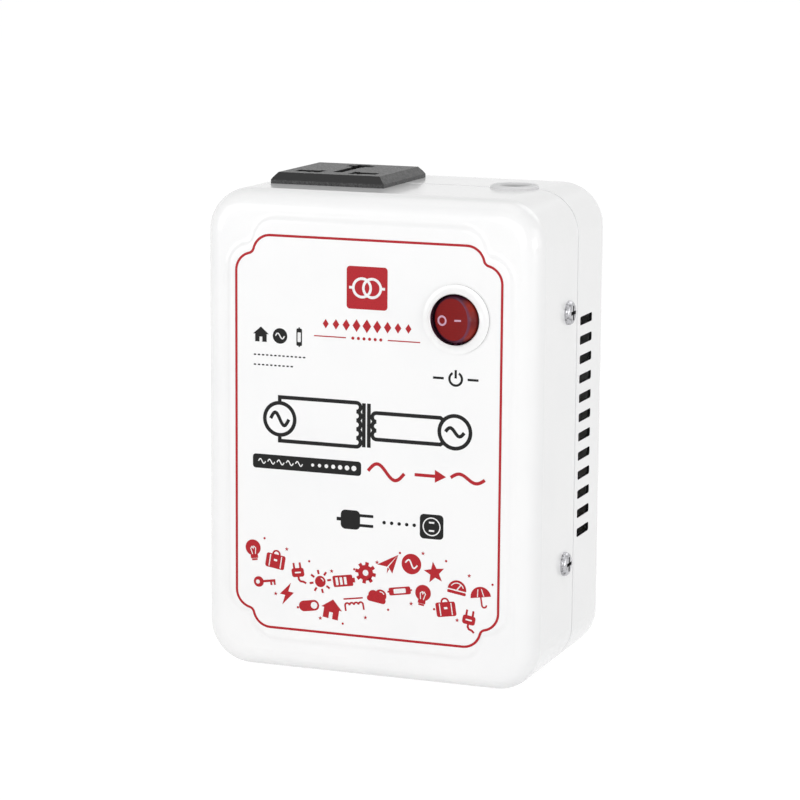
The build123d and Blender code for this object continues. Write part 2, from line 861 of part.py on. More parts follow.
# Transformer: laminated core on four bolts, bobbin, two windings and a wrap
core_front_y = -core_stack / 2
window_top = core_lift + window_height / 2
window_foot = core_lift - window_height / 2


with BuildPart() as core_e_stack:
    with BuildSketch(facing(core_stack / 2, z=0)):
        with Locations((0, window_foot - core_window)):
            Rectangle(core_width, core_height - core_window, align=(Align.CENTER, Align.MIN))
        for side in (-1, 1):
            with Locations((side * (core_leg / 2 + core_window / 2), window_foot)):
                Rectangle(core_window, window_height, align=(Align.CENTER, Align.MIN), mode=Mode.SUBTRACT)
        with Locations(*bolt_places):
            Circle(bolt_radius + bolt_clearance, mode=Mode.SUBTRACT)
    extrude(amount=core_stack)
write(core_e_stack, "core_e_stack")

with BuildPart() as core_i_stack:
    with BuildSketch(facing(core_stack / 2, z=0)):
        with Locations((0, window_top)):
            Rectangle(core_width, core_window, align=(Align.CENTER, Align.MIN))
        with Locations(*bolt_places):
            Circle(bolt_radius + bolt_clearance, mode=Mode.SUBTRACT)
    extrude(amount=core_stack)
write(core_i_stack, "core_i_stack")

hub_x = core_leg / 2 + bobbin_clearance + bobbin_wall
hub_y = core_stack / 2 + bobbin_clearance + bobbin_wall
bobbin_flange = core_window - bobbin_clearance - bobbin_wall - flange_clearance
turns_room = bobbin_flange - flange_margin - wrap_thickness - 2 * turns_clearance
common_turns = common_turns_share * turns_room
series_turns = turns_room - common_turns
bobbin_height = window_height - 2 * bobbin_clearance
coil_height = bobbin_height - 2 * bobbin_wall - 2 * turns_clearance
common_inset = turns_clearance + common_turns
series_inset = common_inset + turns_clearance + series_turns
wrap_inset = series_inset + wrap_thickness
wrap_front_y = -(hub_y + wrap_inset)
lead_y = -(hub_y + common_inset + turns_clearance + series_turns / 2)
lead_shares = {"switch": 1 / 2, "output": -1 / 3, "neutral": -2 / 3}
lead_places = {name: (share * core_leg, lead_y) for name, share in lead_shares.items()}


def coil_ring(inset, thickness, height):
    """Band of turns round the bobbin's hub, centred on the coil."""
    with BuildPart(level(coil_centre, -height / 2)) as turns:
        with BuildSketch(level(coil_centre, -height / 2)):
            RectangleRounded(2 * (hub_x + inset), 2 * (hub_y + inset), bobbin_corner + inset)
            RectangleRounded(
                2 * (hub_x + inset - thickness),
                2 * (hub_y + inset - thickness),
                bobbin_corner + inset - thickness,
                mode=Mode.SUBTRACT,
            )
        extrude(amount=height)
    return turns


with BuildPart() as bobbin:
    with BuildSketch(level(coil_centre, -bobbin_height / 2)):
        RectangleRounded(2 * hub_x, 2 * hub_y, bobbin_corner)
    extrude(amount=bobbin_height)
    for foot in (-bobbin_height / 2, bobbin_height / 2 - bobbin_wall):
        with BuildSketch(level(coil_centre, foot)):
            RectangleRounded(2 * (hub_x + bobbin_flange), 2 * (hub_y + bobbin_flange), bobbin_corner)
            with Locations(*lead_places.values()):
                Circle(lead_radius + lead_hole_clearance, mode=Mode.SUBTRACT)
        extrude(amount=bobbin_wall)
    with BuildSketch(level(coil_centre, -bobbin_height / 2)):
        Rectangle(core_leg + 2 * bobbin_clearance, core_stack + 2 * bobbin_clearance)
    extrude(amount=bobbin_height, mode=Mode.SUBTRACT)
write(bobbin, "bobbin")

common_winding = coil_ring(common_inset, common_turns, coil_height)
write(common_winding, "common_winding")
series_winding = coil_ring(series_inset, series_turns, coil_height)
write(series_winding, "series_winding")
coil_wrap = coil_ring(wrap_inset, wrap_thickness, coil_height)
write(coil_wrap, "coil_wrap")

with BuildPart() as thermal_cutout:
    with BuildSketch(facing(wrap_front_y, z=core_lift)):
        RectangleRounded(cutout_width, cutout_length, cutout_corner)
    extrude(amount=cutout_thickness)
write(thermal_cutout, "thermal_cutout")

washer_y = core_front_y
nut_y = washer_y - washer_height
lug_y = nut_y
earth_bolt = bolt_places[1]

with BuildPart() as core_bolts:
    for x, z in bolt_places:
        add(
            pan_screw(
                facing_back(back_y, x, z),
                bolt_head_radius,
                bolt_head_height,
                bolt_radius,
                back_y - nut_y + lug_thickness + nut_height + bolt_spare,
                recess_share=bolt_head_radius / screw_head_radius,
            )
        )
write(core_bolts, "core_bolts")

with BuildPart() as core_spacers:
    for x, z in bolt_places:
        spacer_length = back_y - sheet - core_stack / 2
        add(ring(facing(back_y - sheet, x, z), spacer_radius, bolt_radius + bolt_clearance, spacer_length))
write(core_spacers, "core_spacers")

with BuildPart() as core_washers:
    for x, z in bolt_places:
        add(ring(facing(washer_y, x, z), washer_radius, bolt_radius + bolt_clearance, washer_height))
write(core_washers, "core_washers")

with BuildPart() as core_nuts:
    for x, z in bolt_places:
        seat_y = nut_y - (lug_thickness if (x, z) == earth_bolt else 0)
        with BuildSketch(facing(seat_y, x, z)):
            RegularPolygon(nut_radius, 6)
            Circle(bolt_radius + thread_clearance, mode=Mode.SUBTRACT)
        extrude(amount=nut_height)
write(core_nuts, "core_nuts")

# Ring terminal under one core nut, with a barrel that stands up beside the core
lug_plane = facing(lug_y, *earth_bolt)
lug_top = core_lift + core_height / 2 + lug_barrel_length
barrel_y = lug_y - lug_barrel_radius
with BuildPart() as earth_lug:
    with BuildSketch(lug_plane):
        Circle(lug_radius)
        Rectangle(
            2 * lug_barrel_radius,
            lug_top - earth_bolt[1] - lug_barrel_length / 2,
            align=(Align.CENTER, Align.MIN),
        )
        Circle(bolt_radius + bolt_clearance, mode=Mode.SUBTRACT)
    extrude(amount=lug_thickness)
    with BuildSketch(Plane(origin=(earth_bolt[0], barrel_y, lug_top))):
        Circle(lug_barrel_radius)
    extrude(amount=-lug_barrel_length)
write(earth_lug, "earth_lug")


# Leads: each is one round wire along straight runs and arcs
def lead(points):
    """Insulated lead through a list of points, with bends as large as the runs allow."""
    places = [Vector(*point) for point in points]
    runs = [end - start for start, end in zip(places, places[1:])]
    radii = []
    for before, after in zip(runs, runs[1:]):
        half_turn = math.radians(before.get_angle(after)) / 2
        radii.append(0.45 * min(before.length, after.length) / math.tan(half_turn))
    with BuildPart() as wire:
        with BuildLine() as route:
            FilletPolyline(*places, radius=radii)
        with BuildSketch(Plane(origin=places[0], z_dir=runs[0])):
            Circle(lead_radius)
        sweep()
    length = route.wires()[0].length
    share = wire.part.volume / (math.pi * lead_radius**2 * length)
    print("lead: radii", [round(radius, 1) for radius in radii], "length", round(length, 1))
    print("lead: volume over section times length", round(share, 4))
    return wire


coil_top = core_lift + coil_height / 2
lead_tops = {name: Vector(x, y, coil_top) for name, (x, y) in lead_places.items()}
tab_z = case_height + clip_foot - base_floor - tab_reach

switch_blade = pivot + Vector(-blade_pitch, -blade_foot, 0)
end = lead_tops["switch"]
switch_lead = lead(
    [
        switch_blade,
        switch_blade + Vector(0, lead_run, 0),
        switch_blade + Vector(-lead_run / 3, lead_run * 4 / 3, -lead_run),
        (end.X + lead_run / 4, end.Y + lead_run / 4, end.Z + 2 * lead_run),
        (end.X, end.Y, end.Z + lead_run),
        end,
    ]
)
write(switch_lead, "switch_lead")


def socket_lead(contact_x, end):
    """Lead from a socket tab down to the coil."""
    start = Vector(socket_centre.X + contact_x, socket_centre.Y + row_y, tab_z)
    return lead(
        [
            start,
            start - Vector(0, 0, lead_run),
            ((start.X + end.X) / 2, (start.Y + end.Y) / 2, (start.Z + end.Z) / 2 + lead_run / 2),
            (end.X, end.Y, end.Z + lead_run * 3 / 2),
            end,
        ]
    )


output_lead = socket_lead(clip_x, lead_tops["output"])
write(output_lead, "output_lead")
neutral_lead = socket_lead(-clip_x, lead_tops["neutral"])
write(neutral_lead, "neutral_lead")

start = Vector(socket_centre.X, socket_centre.Y + earth_clip_y, tab_z)
end = Vector(earth_bolt[0], barrel_y, lug_top)
earth_lead = lead(
    [
        start,
        start - Vector(0, 0, lead_run),
        ((start.X + end.X) / 2, (start.Y + end.Y) / 2, (start.Z + end.Z) / 2 + lead_run / 4),
        end + Vector(0, 0, lead_run),
        end,
    ]
)
write(earth_lead, "earth_lead")
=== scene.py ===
"""Finishes and printed decoration for an upright voltage converter with a rocker switch and a universal socket."""
import json
import math

import bmesh
import bpy
from bpy.props import FloatProperty, FloatVectorProperty, IntProperty, PointerProperty
from mathutils import Matrix, Vector
from mathutils.bvhtree import BVHTree


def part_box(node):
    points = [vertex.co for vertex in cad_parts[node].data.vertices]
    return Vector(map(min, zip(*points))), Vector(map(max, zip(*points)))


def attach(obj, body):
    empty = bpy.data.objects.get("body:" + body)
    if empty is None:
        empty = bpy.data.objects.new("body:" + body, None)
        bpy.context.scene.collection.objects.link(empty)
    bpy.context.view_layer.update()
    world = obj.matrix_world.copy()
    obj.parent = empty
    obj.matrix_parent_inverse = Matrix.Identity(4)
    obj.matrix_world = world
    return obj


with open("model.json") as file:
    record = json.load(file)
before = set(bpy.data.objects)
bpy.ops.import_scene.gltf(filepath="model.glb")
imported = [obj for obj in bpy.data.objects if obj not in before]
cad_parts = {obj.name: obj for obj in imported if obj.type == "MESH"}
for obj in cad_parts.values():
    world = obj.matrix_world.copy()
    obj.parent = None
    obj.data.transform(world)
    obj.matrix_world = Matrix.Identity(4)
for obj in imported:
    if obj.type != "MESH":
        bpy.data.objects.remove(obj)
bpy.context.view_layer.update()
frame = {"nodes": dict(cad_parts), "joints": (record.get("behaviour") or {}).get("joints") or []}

bl_info = {
    "name": "Voltage converter finishes",
    "version": (1, 0, 0),
    "blender": (4, 5, 0),
    "location": "3D View > Sidebar > Converter",
    "description": "Paints, prints and lights an upright voltage converter",
    "category": "Object",
}

MM = 0.001
HAIR = 0.5e-6
COVER_LOW, COVER_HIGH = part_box("front_cover")
BEZEL_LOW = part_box("switch_housing")[0]
GLAND_LOW, GLAND_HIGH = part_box("cord_gland")
PANEL_FACE = COVER_LOW.y
CASE_TOP = COVER_HIGH.z
SWITCH_JOINT = next(joint for joint in frame["joints"] if joint["name"] == "rocker_rock")
SWITCH_PIVOT = Vector(SWITCH_JOINT["pos_m"])
ROCKER_TILT = math.radians(sum(SWITCH_JOINT["range_deg"])) / 2
SEAM_MIDDLE = COVER_HIGH.y + 0.15 * MM
UPRIGHT = Matrix.Rotation(math.pi / 2, 4, "X")
ON_PANEL = Matrix.Translation((0, PANEL_FACE, 0)) @ UPRIGHT
ON_ROCKER = Matrix.Translation(SWITCH_PIVOT) @ Matrix.Rotation(-ROCKER_TILT, 4, "Z") @ UPRIGHT


def length(name, default, description):
    """A size that a user may change. Its default is given in millimetres here and kept in metres."""
    return FloatProperty(name=name, description=description, default=default * MM, min=0, unit="LENGTH")


def angle(name, default, description):
    """A turn that a user may change. Its default is given in degrees here and kept in radians."""
    return FloatProperty(name=name, description=description, default=math.radians(default), unit="ROTATION")


def share(name, default, description):
    """A plain number from nothing to all."""
    return FloatProperty(name=name, description=description, default=default, min=0, max=1, subtype="FACTOR")


def colour(name, default, description):
    """A colour that a user may change."""
    return FloatVectorProperty(
        name=name, description=description, default=default, min=0, max=1, size=3, subtype="COLOR"
    )


class EnamelLook(bpy.types.PropertyGroup):
    tint: colour("Enamel", (0.9, 0.9, 0.9), "Colour of the baked enamel")
    patch: colour("Thin enamel", (0.875, 0.877, 0.88), "Colour where the coat is a little thinner")
    roughness: share("Roughness", 0.2, "Roughness of the enamel")
    peel: length("Orange peel", 0.012, "Height of the ripples in the enamel")
    peel_pitch: length("Peel pitch", 1.4, "Distance between the ripples")
    # Painted shade: the seam colour and seam width darken a band along the seam between the pans, standing in for the
    # shade in the groove.
    seam: colour("Seam", (0.77, 0.77, 0.78), "Colour of the shading in the seam between the pans")
    seam_width: length("Seam width", 0.75, "How far from its middle the seam's shade reaches")
    # Painted shade: near-black painted on the slots' walls and on the inside of the covers seen through them, where
    # only shade falls.
    cut: colour("Slot cut", (0.012, 0.012, 0.013), "Colour of the shadowed metal inside the slots")
    slot_skin: length("Slot skin", 0.06, "Depth at which the enamel ends in a slot")
    slot_front: length("Slot front", 6.8, "Where the row of slots starts")
    slot_back: length("Slot back", 21.2, "Where the row of slots ends")
    slot_foot: length("Slot foot", 44, "Height below the lowest slot")
    slot_top: length("Slot top", 123.5, "Height above the highest slot")


class InkLook(bpy.types.PropertyGroup):
    red: colour("Red ink", (0.44, 0.014, 0.022), "Colour of the red print")
    black: colour("Black ink", (0.006, 0.006, 0.006), "Colour of the black print")
    white: colour("White ink", (0.88, 0.88, 0.88), "Colour of the white print")
    film: length("Film", 0.04, "Thickness of one layer of ink")
    roughness: share("Roughness", 0.38, "Roughness of the dry ink")


class BorderSizes(bpy.types.PropertyGroup):
    half_width: length("Half width", 47.45, "From the middle of the panel to the border line")
    foot: length("Foot", 15.2, "Height of the lower border line")
    top: length("Top", 150.4, "Height of the upper border line")
    step: length("Step", 6.2, "Radius of each of the two outer arcs of a corner")
    round: length("Inner round", 2.2, "Radius of the round between the two arcs of a corner")
    line: length("Line", 0.85, "Width of the border line")
    arc_steps: IntProperty(name="Arc steps", description="Pieces of one corner arc", default=10, min=3)


class MotifSizes(bpy.types.PropertyGroup):
    middle: length("Middle", 32.6, "Height of the middle of the band of motifs")
    swing: length("Swing", 4.6, "How far the band rises and falls")
    wave: length("Wave", 59.0, "Length of one wave of the band")
    pitch: length("Pitch", 8.25, "Distance between neighbouring motifs")
    row_gap: length("Row gap", 9.6, "Distance between the two rows")
    size: length("Size", 8.3, "Height of one motif")
    count: IntProperty(name="Count", description="Motifs in the upper row", default=11, min=1)


class SwitchLook(bpy.types.PropertyGroup):
    lens: colour("Lens", (0.23, 0.01, 0.01), "Colour of the clear red rocker")
    # Painted shade: the lens rim colour darkens the rocker's side walls, which sit in shade in the well.
    rim: colour("Lens rim", (0.045, 0.008, 0.02), "Colour of the rocker where its wall is seen edge on")
    glow: colour("Lens glow", (0.3, 0.03, 0.018), "Colour where light comes through the rocker's side")
    bezel: colour("Bezel", (0.9, 0.9, 0.9), "Colour of the switch's bezel")
    # Painted shade: the bezel foot colour greys the bezel's lower edge where it meets the panel.
    foot: colour("Bezel foot", (0.28, 0.28, 0.29), "Colour of the bezel's edge where it meets the panel")
    # Painted shade and painted reflection: the well colour is a dark purple for the shade inside the white switch and
    # the red thrown on it by the rocker.
    well: colour("Well", (0.075, 0.026, 0.046), "Colour of the dark inside of the switch")
    well_radius: length("Well radius", 9.0, "Radius of the switch's dark inside")
    well_lip: length("Well lip", 0.25, "White edge at the top of the switch's inside")
    glow_start: length("Glow start", 3.2, "How far right of the middle light starts to come through the rocker")
    glow_end: length("Glow end", 6.2, "How far right of the middle that light is full")
    # Painted highlight: the lens haze colour lights a thin line round the right of the rocker's face.
    haze: colour("Lens haze", (0.14, 0.045, 0.085), "Colour of the soft line round the rocker's face")
    face_radius: length("Face radius", 7.1, "Radius of the rocker's even red face")
    mark: colour("Marks", (0.64, 0.38, 0.5), "Colour of the marks on the rocker")
    ring_place: FloatProperty(name="Ring place", description="Place of the ring", default=-4.2 * MM, unit="LENGTH")
    ring_radius: length("Ring radius", 1.43, "Middle radius of the ring")
    dash_place: FloatProperty(name="Dash place", description="Place of the dash", default=2.4 * MM, unit="LENGTH")
    dash_length: length("Dash length", 2.95, "Length of the dash")
    mark_width: length("Mark width", 0.62, "Width of the marks' lines")
    marks_turn: angle("Marks' turn", 5, "Turn of both marks")
    marks_drop: length("Marks' drop", 0.3, "How far the marks lie under the rocker's middle")
    mark_film: length("Mark film", 0.04, "Thickness of the marks")


class PlasticLook(bpy.types.PropertyGroup):
    black: colour("Black plastic", (0.006, 0.006, 0.0063), "Colour of the socket")
    # A paler, speckled grey on the socket's upright edge, up to the edge height above the case.
    edge_grey: colour("Greyish plastic", (0.055, 0.055, 0.056), "Colour of the socket's worn lower edge")
    edge_height: length("Edge height", 1.3, "Height of the socket's upright edge")
    grain_pitch: length("Grain pitch", 0.28, "Distance between the grains of the moulded face")
    grain: length("Grain", 0.02, "Height of the grains")
    rubber: colour("Rubber", (0.74, 0.74, 0.745), "Colour of the cord bushing")
    # Painted shade: the bushing is darkened down its bore, where only shade falls.
    bore: length("Bore", 5.6, "Radius inside which the bushing is dark")
    bore_shade: colour("Bore tint", (0.05, 0.05, 0.052), "Colour down the bushing's bore")
    bore_depth: length("Bore depth", 0.9, "Depth under the top of the case at which the bore is dark")
    nylon: colour("Nylon", (0.75, 0.73, 0.64), "Colour of the bobbin")


class MetalLook(bpy.types.PropertyGroup):
    nickel: colour("Nickel", (0.5, 0.5, 0.52), "Colour of the bright screws")
    steel: colour("Steel", (0.5, 0.5, 0.52), "Colour of the spring and the cutout's shell")
    zinc: colour("Zinc", (0.62, 0.64, 0.66), "Colour of the zinc plate")
    brass: colour("Brass", (0.75, 0.56, 0.25), "Colour of the contacts")
    core: colour("Core", (0.13, 0.135, 0.15), "Colour of the core's laminations")
    copper: colour("Copper", (0.5, 0.17, 0.065), "Colour of the enamelled wire")
    rust: colour("Rust", (0.16, 0.07, 0.035), "Colour of the core's rusty spots")
    tape: colour("Tape", (0.72, 0.5, 0.07), "Colour of the coil tape")
    lap: length("Lap", 9.0, "Width of one turn of the tape")
    sheet_pitch: length("Lamination", 0.5, "Thickness of one lamination")
    wire_pitch: length("Wire pitch", 0.8, "Distance between turns of the winding")
    stain: share("Stain", 0.4, "Brightness of the screws' stains beside clean plate")
    # Painted shade: darkens each cross recess of the screws and bolts.
    recess_shade: colour("Shade_in_recess", (0.03, 0.03, 0.032), "Colour of the painted_shade down a cross recess")
    screw_head: length("Screw head", 4.1, "Radius of the cover screws' heads")
    bolt_head: length("Bolt head", 4.0, "Radius of the core bolts' heads")
    recess_reach: length("Recess reach", 2.65, "Radius that a cross recess stays within")
    recess_lip: length("Recess lip", 0.25, "Clean plate at the top of a recess")
    recess_depth: length("Recess depth", 1.5, "Depth that a cross recess stays within")


class StudioLook(bpy.types.PropertyGroup):
    azimuth: angle("Azimuth", 20.794, "Camera's place round the case")
    elevation: angle("Elevation", 10.049, "Camera's height above level")
    roll: angle("Roll", 0.410, "Camera's turn about its own line of sight")
    distance: length("Distance", 1058.1, "From the camera to the point it looks at")
    aim_height: length("Aim height", 80.0, "Height of the point that the picture is centred from")
    aim_left: length("Aim left", 2.465, "How far left of that point the camera looks")
    aim_up: length("Aim up", 10.224, "How far above that point the camera looks")
    lens: FloatProperty(name="Lens", description="Focal length of the camera", default=137.245, unit="CAMERA")
    backdrop: share("Backdrop", 1.0, "Brightness of the backdrop as the camera sees it")
    sky: FloatProperty(name="Sky", description="Light that comes from all round", default=0.458, min=0)
    floor_glow: share("Floor glow", 0.82, "Share of the floor's colour that no shadow darkens")
    floor_strength: FloatProperty(name="Floor strength", description="Brightness of that share", default=1.13)


class Signal:
    """One socket of a finish. Sums and products on it add the nodes that work them out."""

    def __init__(self, finish, socket):
        self.finish = finish
        self.socket = socket

    def __add__(self, other):
        return self.finish.maths("ADD", self, other)

    __radd__ = __add__

    def __sub__(self, other):
        return self.finish.maths("SUBTRACT", self, other)

    def __rsub__(self, other):
        return self.finish.maths("SUBTRACT", other, self)

    def __mul__(self, other):
        return self.finish.maths("MULTIPLY", self, other)

    __rmul__ = __mul__

    def __truediv__(self, other):
        return self.finish.maths("DIVIDE", self, other)

    def __gt__(self, other):
        return self.finish.maths("GREATER_THAN", self, other)

    def __lt__(self, other):
        return self.finish.maths("LESS_THAN", self, other)

    def __abs__(self):
        return self.finish.maths("ABSOLUTE", self)


class Nodes:
    """Adds nodes to a tree that starts empty."""

    def __init__(self, tree):
        self.tree = tree
        self.tree.nodes.clear()

    def feed(self, socket, value):
        """Link a signal to a socket, or write a number or colour on it."""
        if isinstance(value, Signal):
            self.tree.links.new(value.socket, socket)
        elif socket.type == "RGBA" and len(value) == 3:
            socket.default_value = (*value, 1)
        else:
            socket.default_value = value

    def node(self, kind, settings=None, values=None, output=0):
        """Add a node with its settings, then its values or links, and return one of its outputs."""
        made = self.tree.nodes.new(kind)
        for setting, value in (settings or {}).items():
            setattr(made, setting, value)
        for socket, value in (values or {}).items():
            self.feed(made.inputs[socket], value)
        return None if output is None else Signal(self, made.outputs[output])

    def maths(self, operation, *values):
        """Work out numbers from other numbers."""
        return self.node("ShaderNodeMath", {"operation": operation}, dict(enumerate(values)))

    def vector(self, operation, *values, output=0):
        """Work out a vector, or a number, from vectors."""
        return self.node("ShaderNodeVectorMath", {"operation": operation}, dict(enumerate(values)), output)

    def seen(self):
        """1 for rays from the camera, a mirror or glass, and 0 for the rays that light things."""
        kinds = ("Is Camera Ray", "Is Glossy Ray", "Is Transmission Ray")
        camera, glossy, through = (self.node("ShaderNodeLightPath", output=kind) for kind in kinds)
        return self.maths("MAXIMUM", self.maths("MAXIMUM", camera, glossy), through)


class Finish(Nodes):
    """A material that is built up node by node on Object coordinates."""

    def __init__(self, name, **constants):
        self.material = bpy.data.materials.new(name)
        self.material.use_nodes = True
        super().__init__(self.material.node_tree)
        self.shader = self.tree.nodes.new("ShaderNodeBsdfPrincipled")
        self.output = self.tree.nodes.new("ShaderNodeOutputMaterial")
        self.tree.links.new(self.shader.outputs["BSDF"], self.output.inputs["Surface"])
        for socket, value in constants.items():
            self.feed(self.shader.inputs[socket.replace("_", " ")], value)
        self.place = self.node("ShaderNodeTexCoord", output="Object")

    def noise(self, pitch, detail=2.0, roughness=0.5, place=None):
        """Soft noise from 0 to 1 whose blotches are about one pitch apart."""
        values = {"Vector": place or self.place, "Scale": 1 / pitch, "Detail": detail, "Roughness": roughness}
        return self.node("ShaderNodeTexNoise", None, values)

    def stretched(self, scale):
        """Object coordinates, each axis times its part of scale."""
        return self.vector("MULTIPLY", self.place, scale)

    def part(self, axis, place=None):
        """One of the three parts of a coordinate."""
        return self.node("ShaderNodeSeparateXYZ", None, {0: place or self.place}, output=axis)

    def from_point(self, centre, across):
        """Distance from a point, with each axis weighed by across."""
        away = self.vector("SUBTRACT", self.place, centre)
        return self.vector("LENGTH", self.vector("MULTIPLY", away, across), output="Value")

    def step(self, signal, low, high):
        """Rise smoothly from 0 at low to 1 at high."""
        settings = {"interpolation_type": "SMOOTHSTEP"}
        return self.node("ShaderNodeMapRange", settings, {"Value": signal, 1: low, 2: high})

    def mix(self, factor, first, second):
        """Go from one colour to another."""
        return self.node("ShaderNodeMix", {"data_type": "RGBA"}, {0: factor, 6: first, 7: second}, output=2)

    def stripes(self, axis, pitch):
        """Rounded ridges one pitch apart along an axis, from 0 to 1."""
        return self.maths("SINE", self.part(axis) * (2 * math.pi / pitch)) * 0.5 + 0.5

    def set(self, socket, value):
        self.feed(self.shader.inputs[socket], value)

    def done(self, tint, roughness, height, reach):
        """Set the colour, the roughness and a relief whose height 1 is reach metres, and return the material."""
        self.set("Base Color", tint)
        self.set("Roughness", roughness)
        relief = {"Strength": 1.0, "Distance": reach, "Height": height}
        self.set("Normal", self.node("ShaderNodeBump", None, relief))
        return self.material


def shaded(tint, by):
    """A tint times a number: darker under 1, lighter over it."""
    return tuple(channel * by for channel in tint)


def enamel(look):
    """Glossy baked enamel with a faint orange peel, painted shade along the seam between the pans and near-black
    painted shade in the slots.
    """
    finish = Finish("white_enamel", IOR=1.5, Coat_Weight=0.35, Coat_Roughness=0.06)
    broad = finish.noise(38 * MM, detail=3)
    fine = finish.noise(look.peel_pitch, detail=1)
    # Painted shade: near-black on the slots' walls and on the inside of the case seen through them stands in for the
    # dark inside of the case.
    side = abs(finish.part("X"))
    deep, up = finish.part("Y"), finish.part("Z")
    cut = (side < COVER_HIGH.x - look.slot_skin) * (deep > look.slot_front) * (deep < look.slot_back)
    cut = cut * (up > look.slot_foot) * (up < look.slot_top)
    white = finish.mix(finish.step(broad, 0.4, 0.75), look.tint, look.patch)
    # Painted shade: a grey band along the seam between the pans stands in for the shade in the groove.
    from_seam = abs(deep - SEAM_MIDDLE)
    seam = 1 - finish.step(from_seam, look.seam_width * 0.3, look.seam_width)
    white = finish.mix(seam, white, look.seam)
    return finish.done(finish.mix(cut, white, look.cut), look.roughness + (broad - 0.5) * 0.08, fine, look.peel)


def ink(name, tint, look):
    """Screen-printed ink, slightly mottled and less glossy than the enamel."""
    finish = Finish(name, Specular_IOR_Level=0.2)
    mottle = finish.noise(0.5 * MM, detail=2)
    base = finish.mix(finish.step(mottle, 0.35, 0.8), tint, shaded(tint, 0.82))
    return finish.done(base, look.roughness + (mottle - 0.5) * 0.15, mottle, 0.004 * MM)


def moulded(name, tint, roughness, grain_pitch, grain):
    """Moulded plastic with a fine grain and a faint change of tone."""
    finish = Finish(name, Specular_IOR_Level=0.5)
    grains = finish.noise(grain_pitch, detail=3, roughness=0.6)
    cloud = finish.noise(16 * MM, detail=2)
    base = finish.mix(finish.step(cloud, 0.35, 0.7), tint, shaded(tint, 0.88))
    return finish.done(base, roughness + (grains - 0.5) * 0.12, grains, grain)


def socket_plastic(look):
    """Black socket plastic: an even matt grain, and a paler, speckled grey on its upright edge next to the case."""
    finish = Finish("socket_plastic", Specular_IOR_Level=0.36)
    grains = finish.noise(look.grain_pitch, detail=3, roughness=0.6)
    uneven = finish.noise(4 * look.grain_pitch, detail=3, roughness=0.7)
    edge_speckle = finish.noise(0.5 * MM, detail=3, roughness=0.7)
    # Paler, speckled grey on the upright edge up to the edge height above the case.
    edge = 1 - finish.step(finish.part("Z"), CASE_TOP + look.edge_height * 0.9, CASE_TOP + look.edge_height * 1.1)
    greyer = finish.mix(finish.step(edge_speckle, 0.3, 0.7), look.black, look.edge_grey)
    roughness = 0.42 + (grains - 0.5) * 0.3 + (uneven - 0.5) * 0.5
    return finish.done(finish.mix(edge, look.black, greyer), roughness, grains * 0.5 + uneven * 1.5, look.grain)


def bushing(look):
    """Pale soft plastic of the cord's bushing, with painted shade down its bore."""
    finish = Finish("cord_bushing", Specular_IOR_Level=0.4)
    middle = ((GLAND_LOW.x + GLAND_HIGH.x) / 2, (GLAND_LOW.y + GLAND_HIGH.y) / 2, 0)
    from_axis = finish.from_point(middle, (1, 1, 0))
    # Painted shade: dark down the bore below the top of the case.
    down = 1 - finish.step(finish.part("Z"), CASE_TOP - look.bore_depth, CASE_TOP + 1.0 * MM)
    bore = (1 - finish.step(from_axis, look.bore - 0.15 * MM, look.bore + 0.15 * MM)) * down
    cloud = finish.noise(3 * MM)
    base = finish.mix(bore, finish.mix(cloud, look.rubber, shaded(look.rubber, 0.93)), look.bore_shade)
    return finish.done(base, 0.4 + cloud * 0.1, finish.noise(0.5 * MM), 0.01 * MM)


def plated(name, tint, roughness):
    """Plated metal with faint stains and a worked surface."""
    finish = Finish(name, Metallic=1.0)
    stain = finish.noise(2.2 * MM, detail=4, roughness=0.6)
    worked = finish.noise(0.35 * MM, detail=2)
    base = finish.mix(finish.step(stain, 0.45, 0.8), tint, shaded(tint, 0.78))
    return finish.done(base, roughness + (stain - 0.5) * 0.16, worked, 0.003 * MM)


def cross_head(name, tint, look, node, axis, head, both_ends):
    """Plated screws in a block of like ones, stained, with painted shade down their cross recesses."""
    finish = Finish(name, Metallic=1.0)
    low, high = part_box(node)
    away = 0
    for number, letter in enumerate("XYZ"):
        offset = finish.part(letter) - (low[number] + high[number]) / 2
        reach = (high[number] - low[number]) / 2
        distance = abs(offset)
        if letter == axis:
            under = reach - (distance if both_ends else offset)
        else:
            aside = distance - (reach - head)
            away = aside * aside + away
    # Painted shade: dark, duller, less metallic colour down each cross recess.
    recess = (away < look.recess_reach**2) * (under > look.recess_lip) * (under < look.recess_depth)
    stain = finish.noise(1.1 * MM, detail=4, roughness=0.7)
    metal = finish.mix(finish.step(stain, 0.48, 0.66), tint, shaded(tint, look.stain))
    finish.set("Metallic", 1 - recess * 0.7)
    base = finish.mix(recess, metal, look.recess_shade)
    return finish.done(base, 0.27 + (stain - 0.5) * 0.2 + recess * 0.3, finish.noise(0.9 * MM, detail=2), 0.03 * MM)


def laminations(look):
    """Blued steel sheets, each a little lighter or darker than the next."""
    finish = Finish("core_laminations", Metallic=0.75)
    tone = finish.noise(look.sheet_pitch, detail=1, place=finish.stretched((0.02, 1, 0.02)))
    rust = finish.noise(7 * MM, detail=4)
    steel = finish.mix(finish.step(tone, 0.3, 0.7), look.core, shaded(look.core, 1.9))
    base = finish.mix(finish.step(rust, 0.62, 0.8) * 0.5, steel, look.rust)
    return finish.done(base, 0.42 + tone * 0.18, finish.stripes("Y", look.sheet_pitch), 0.03 * MM)


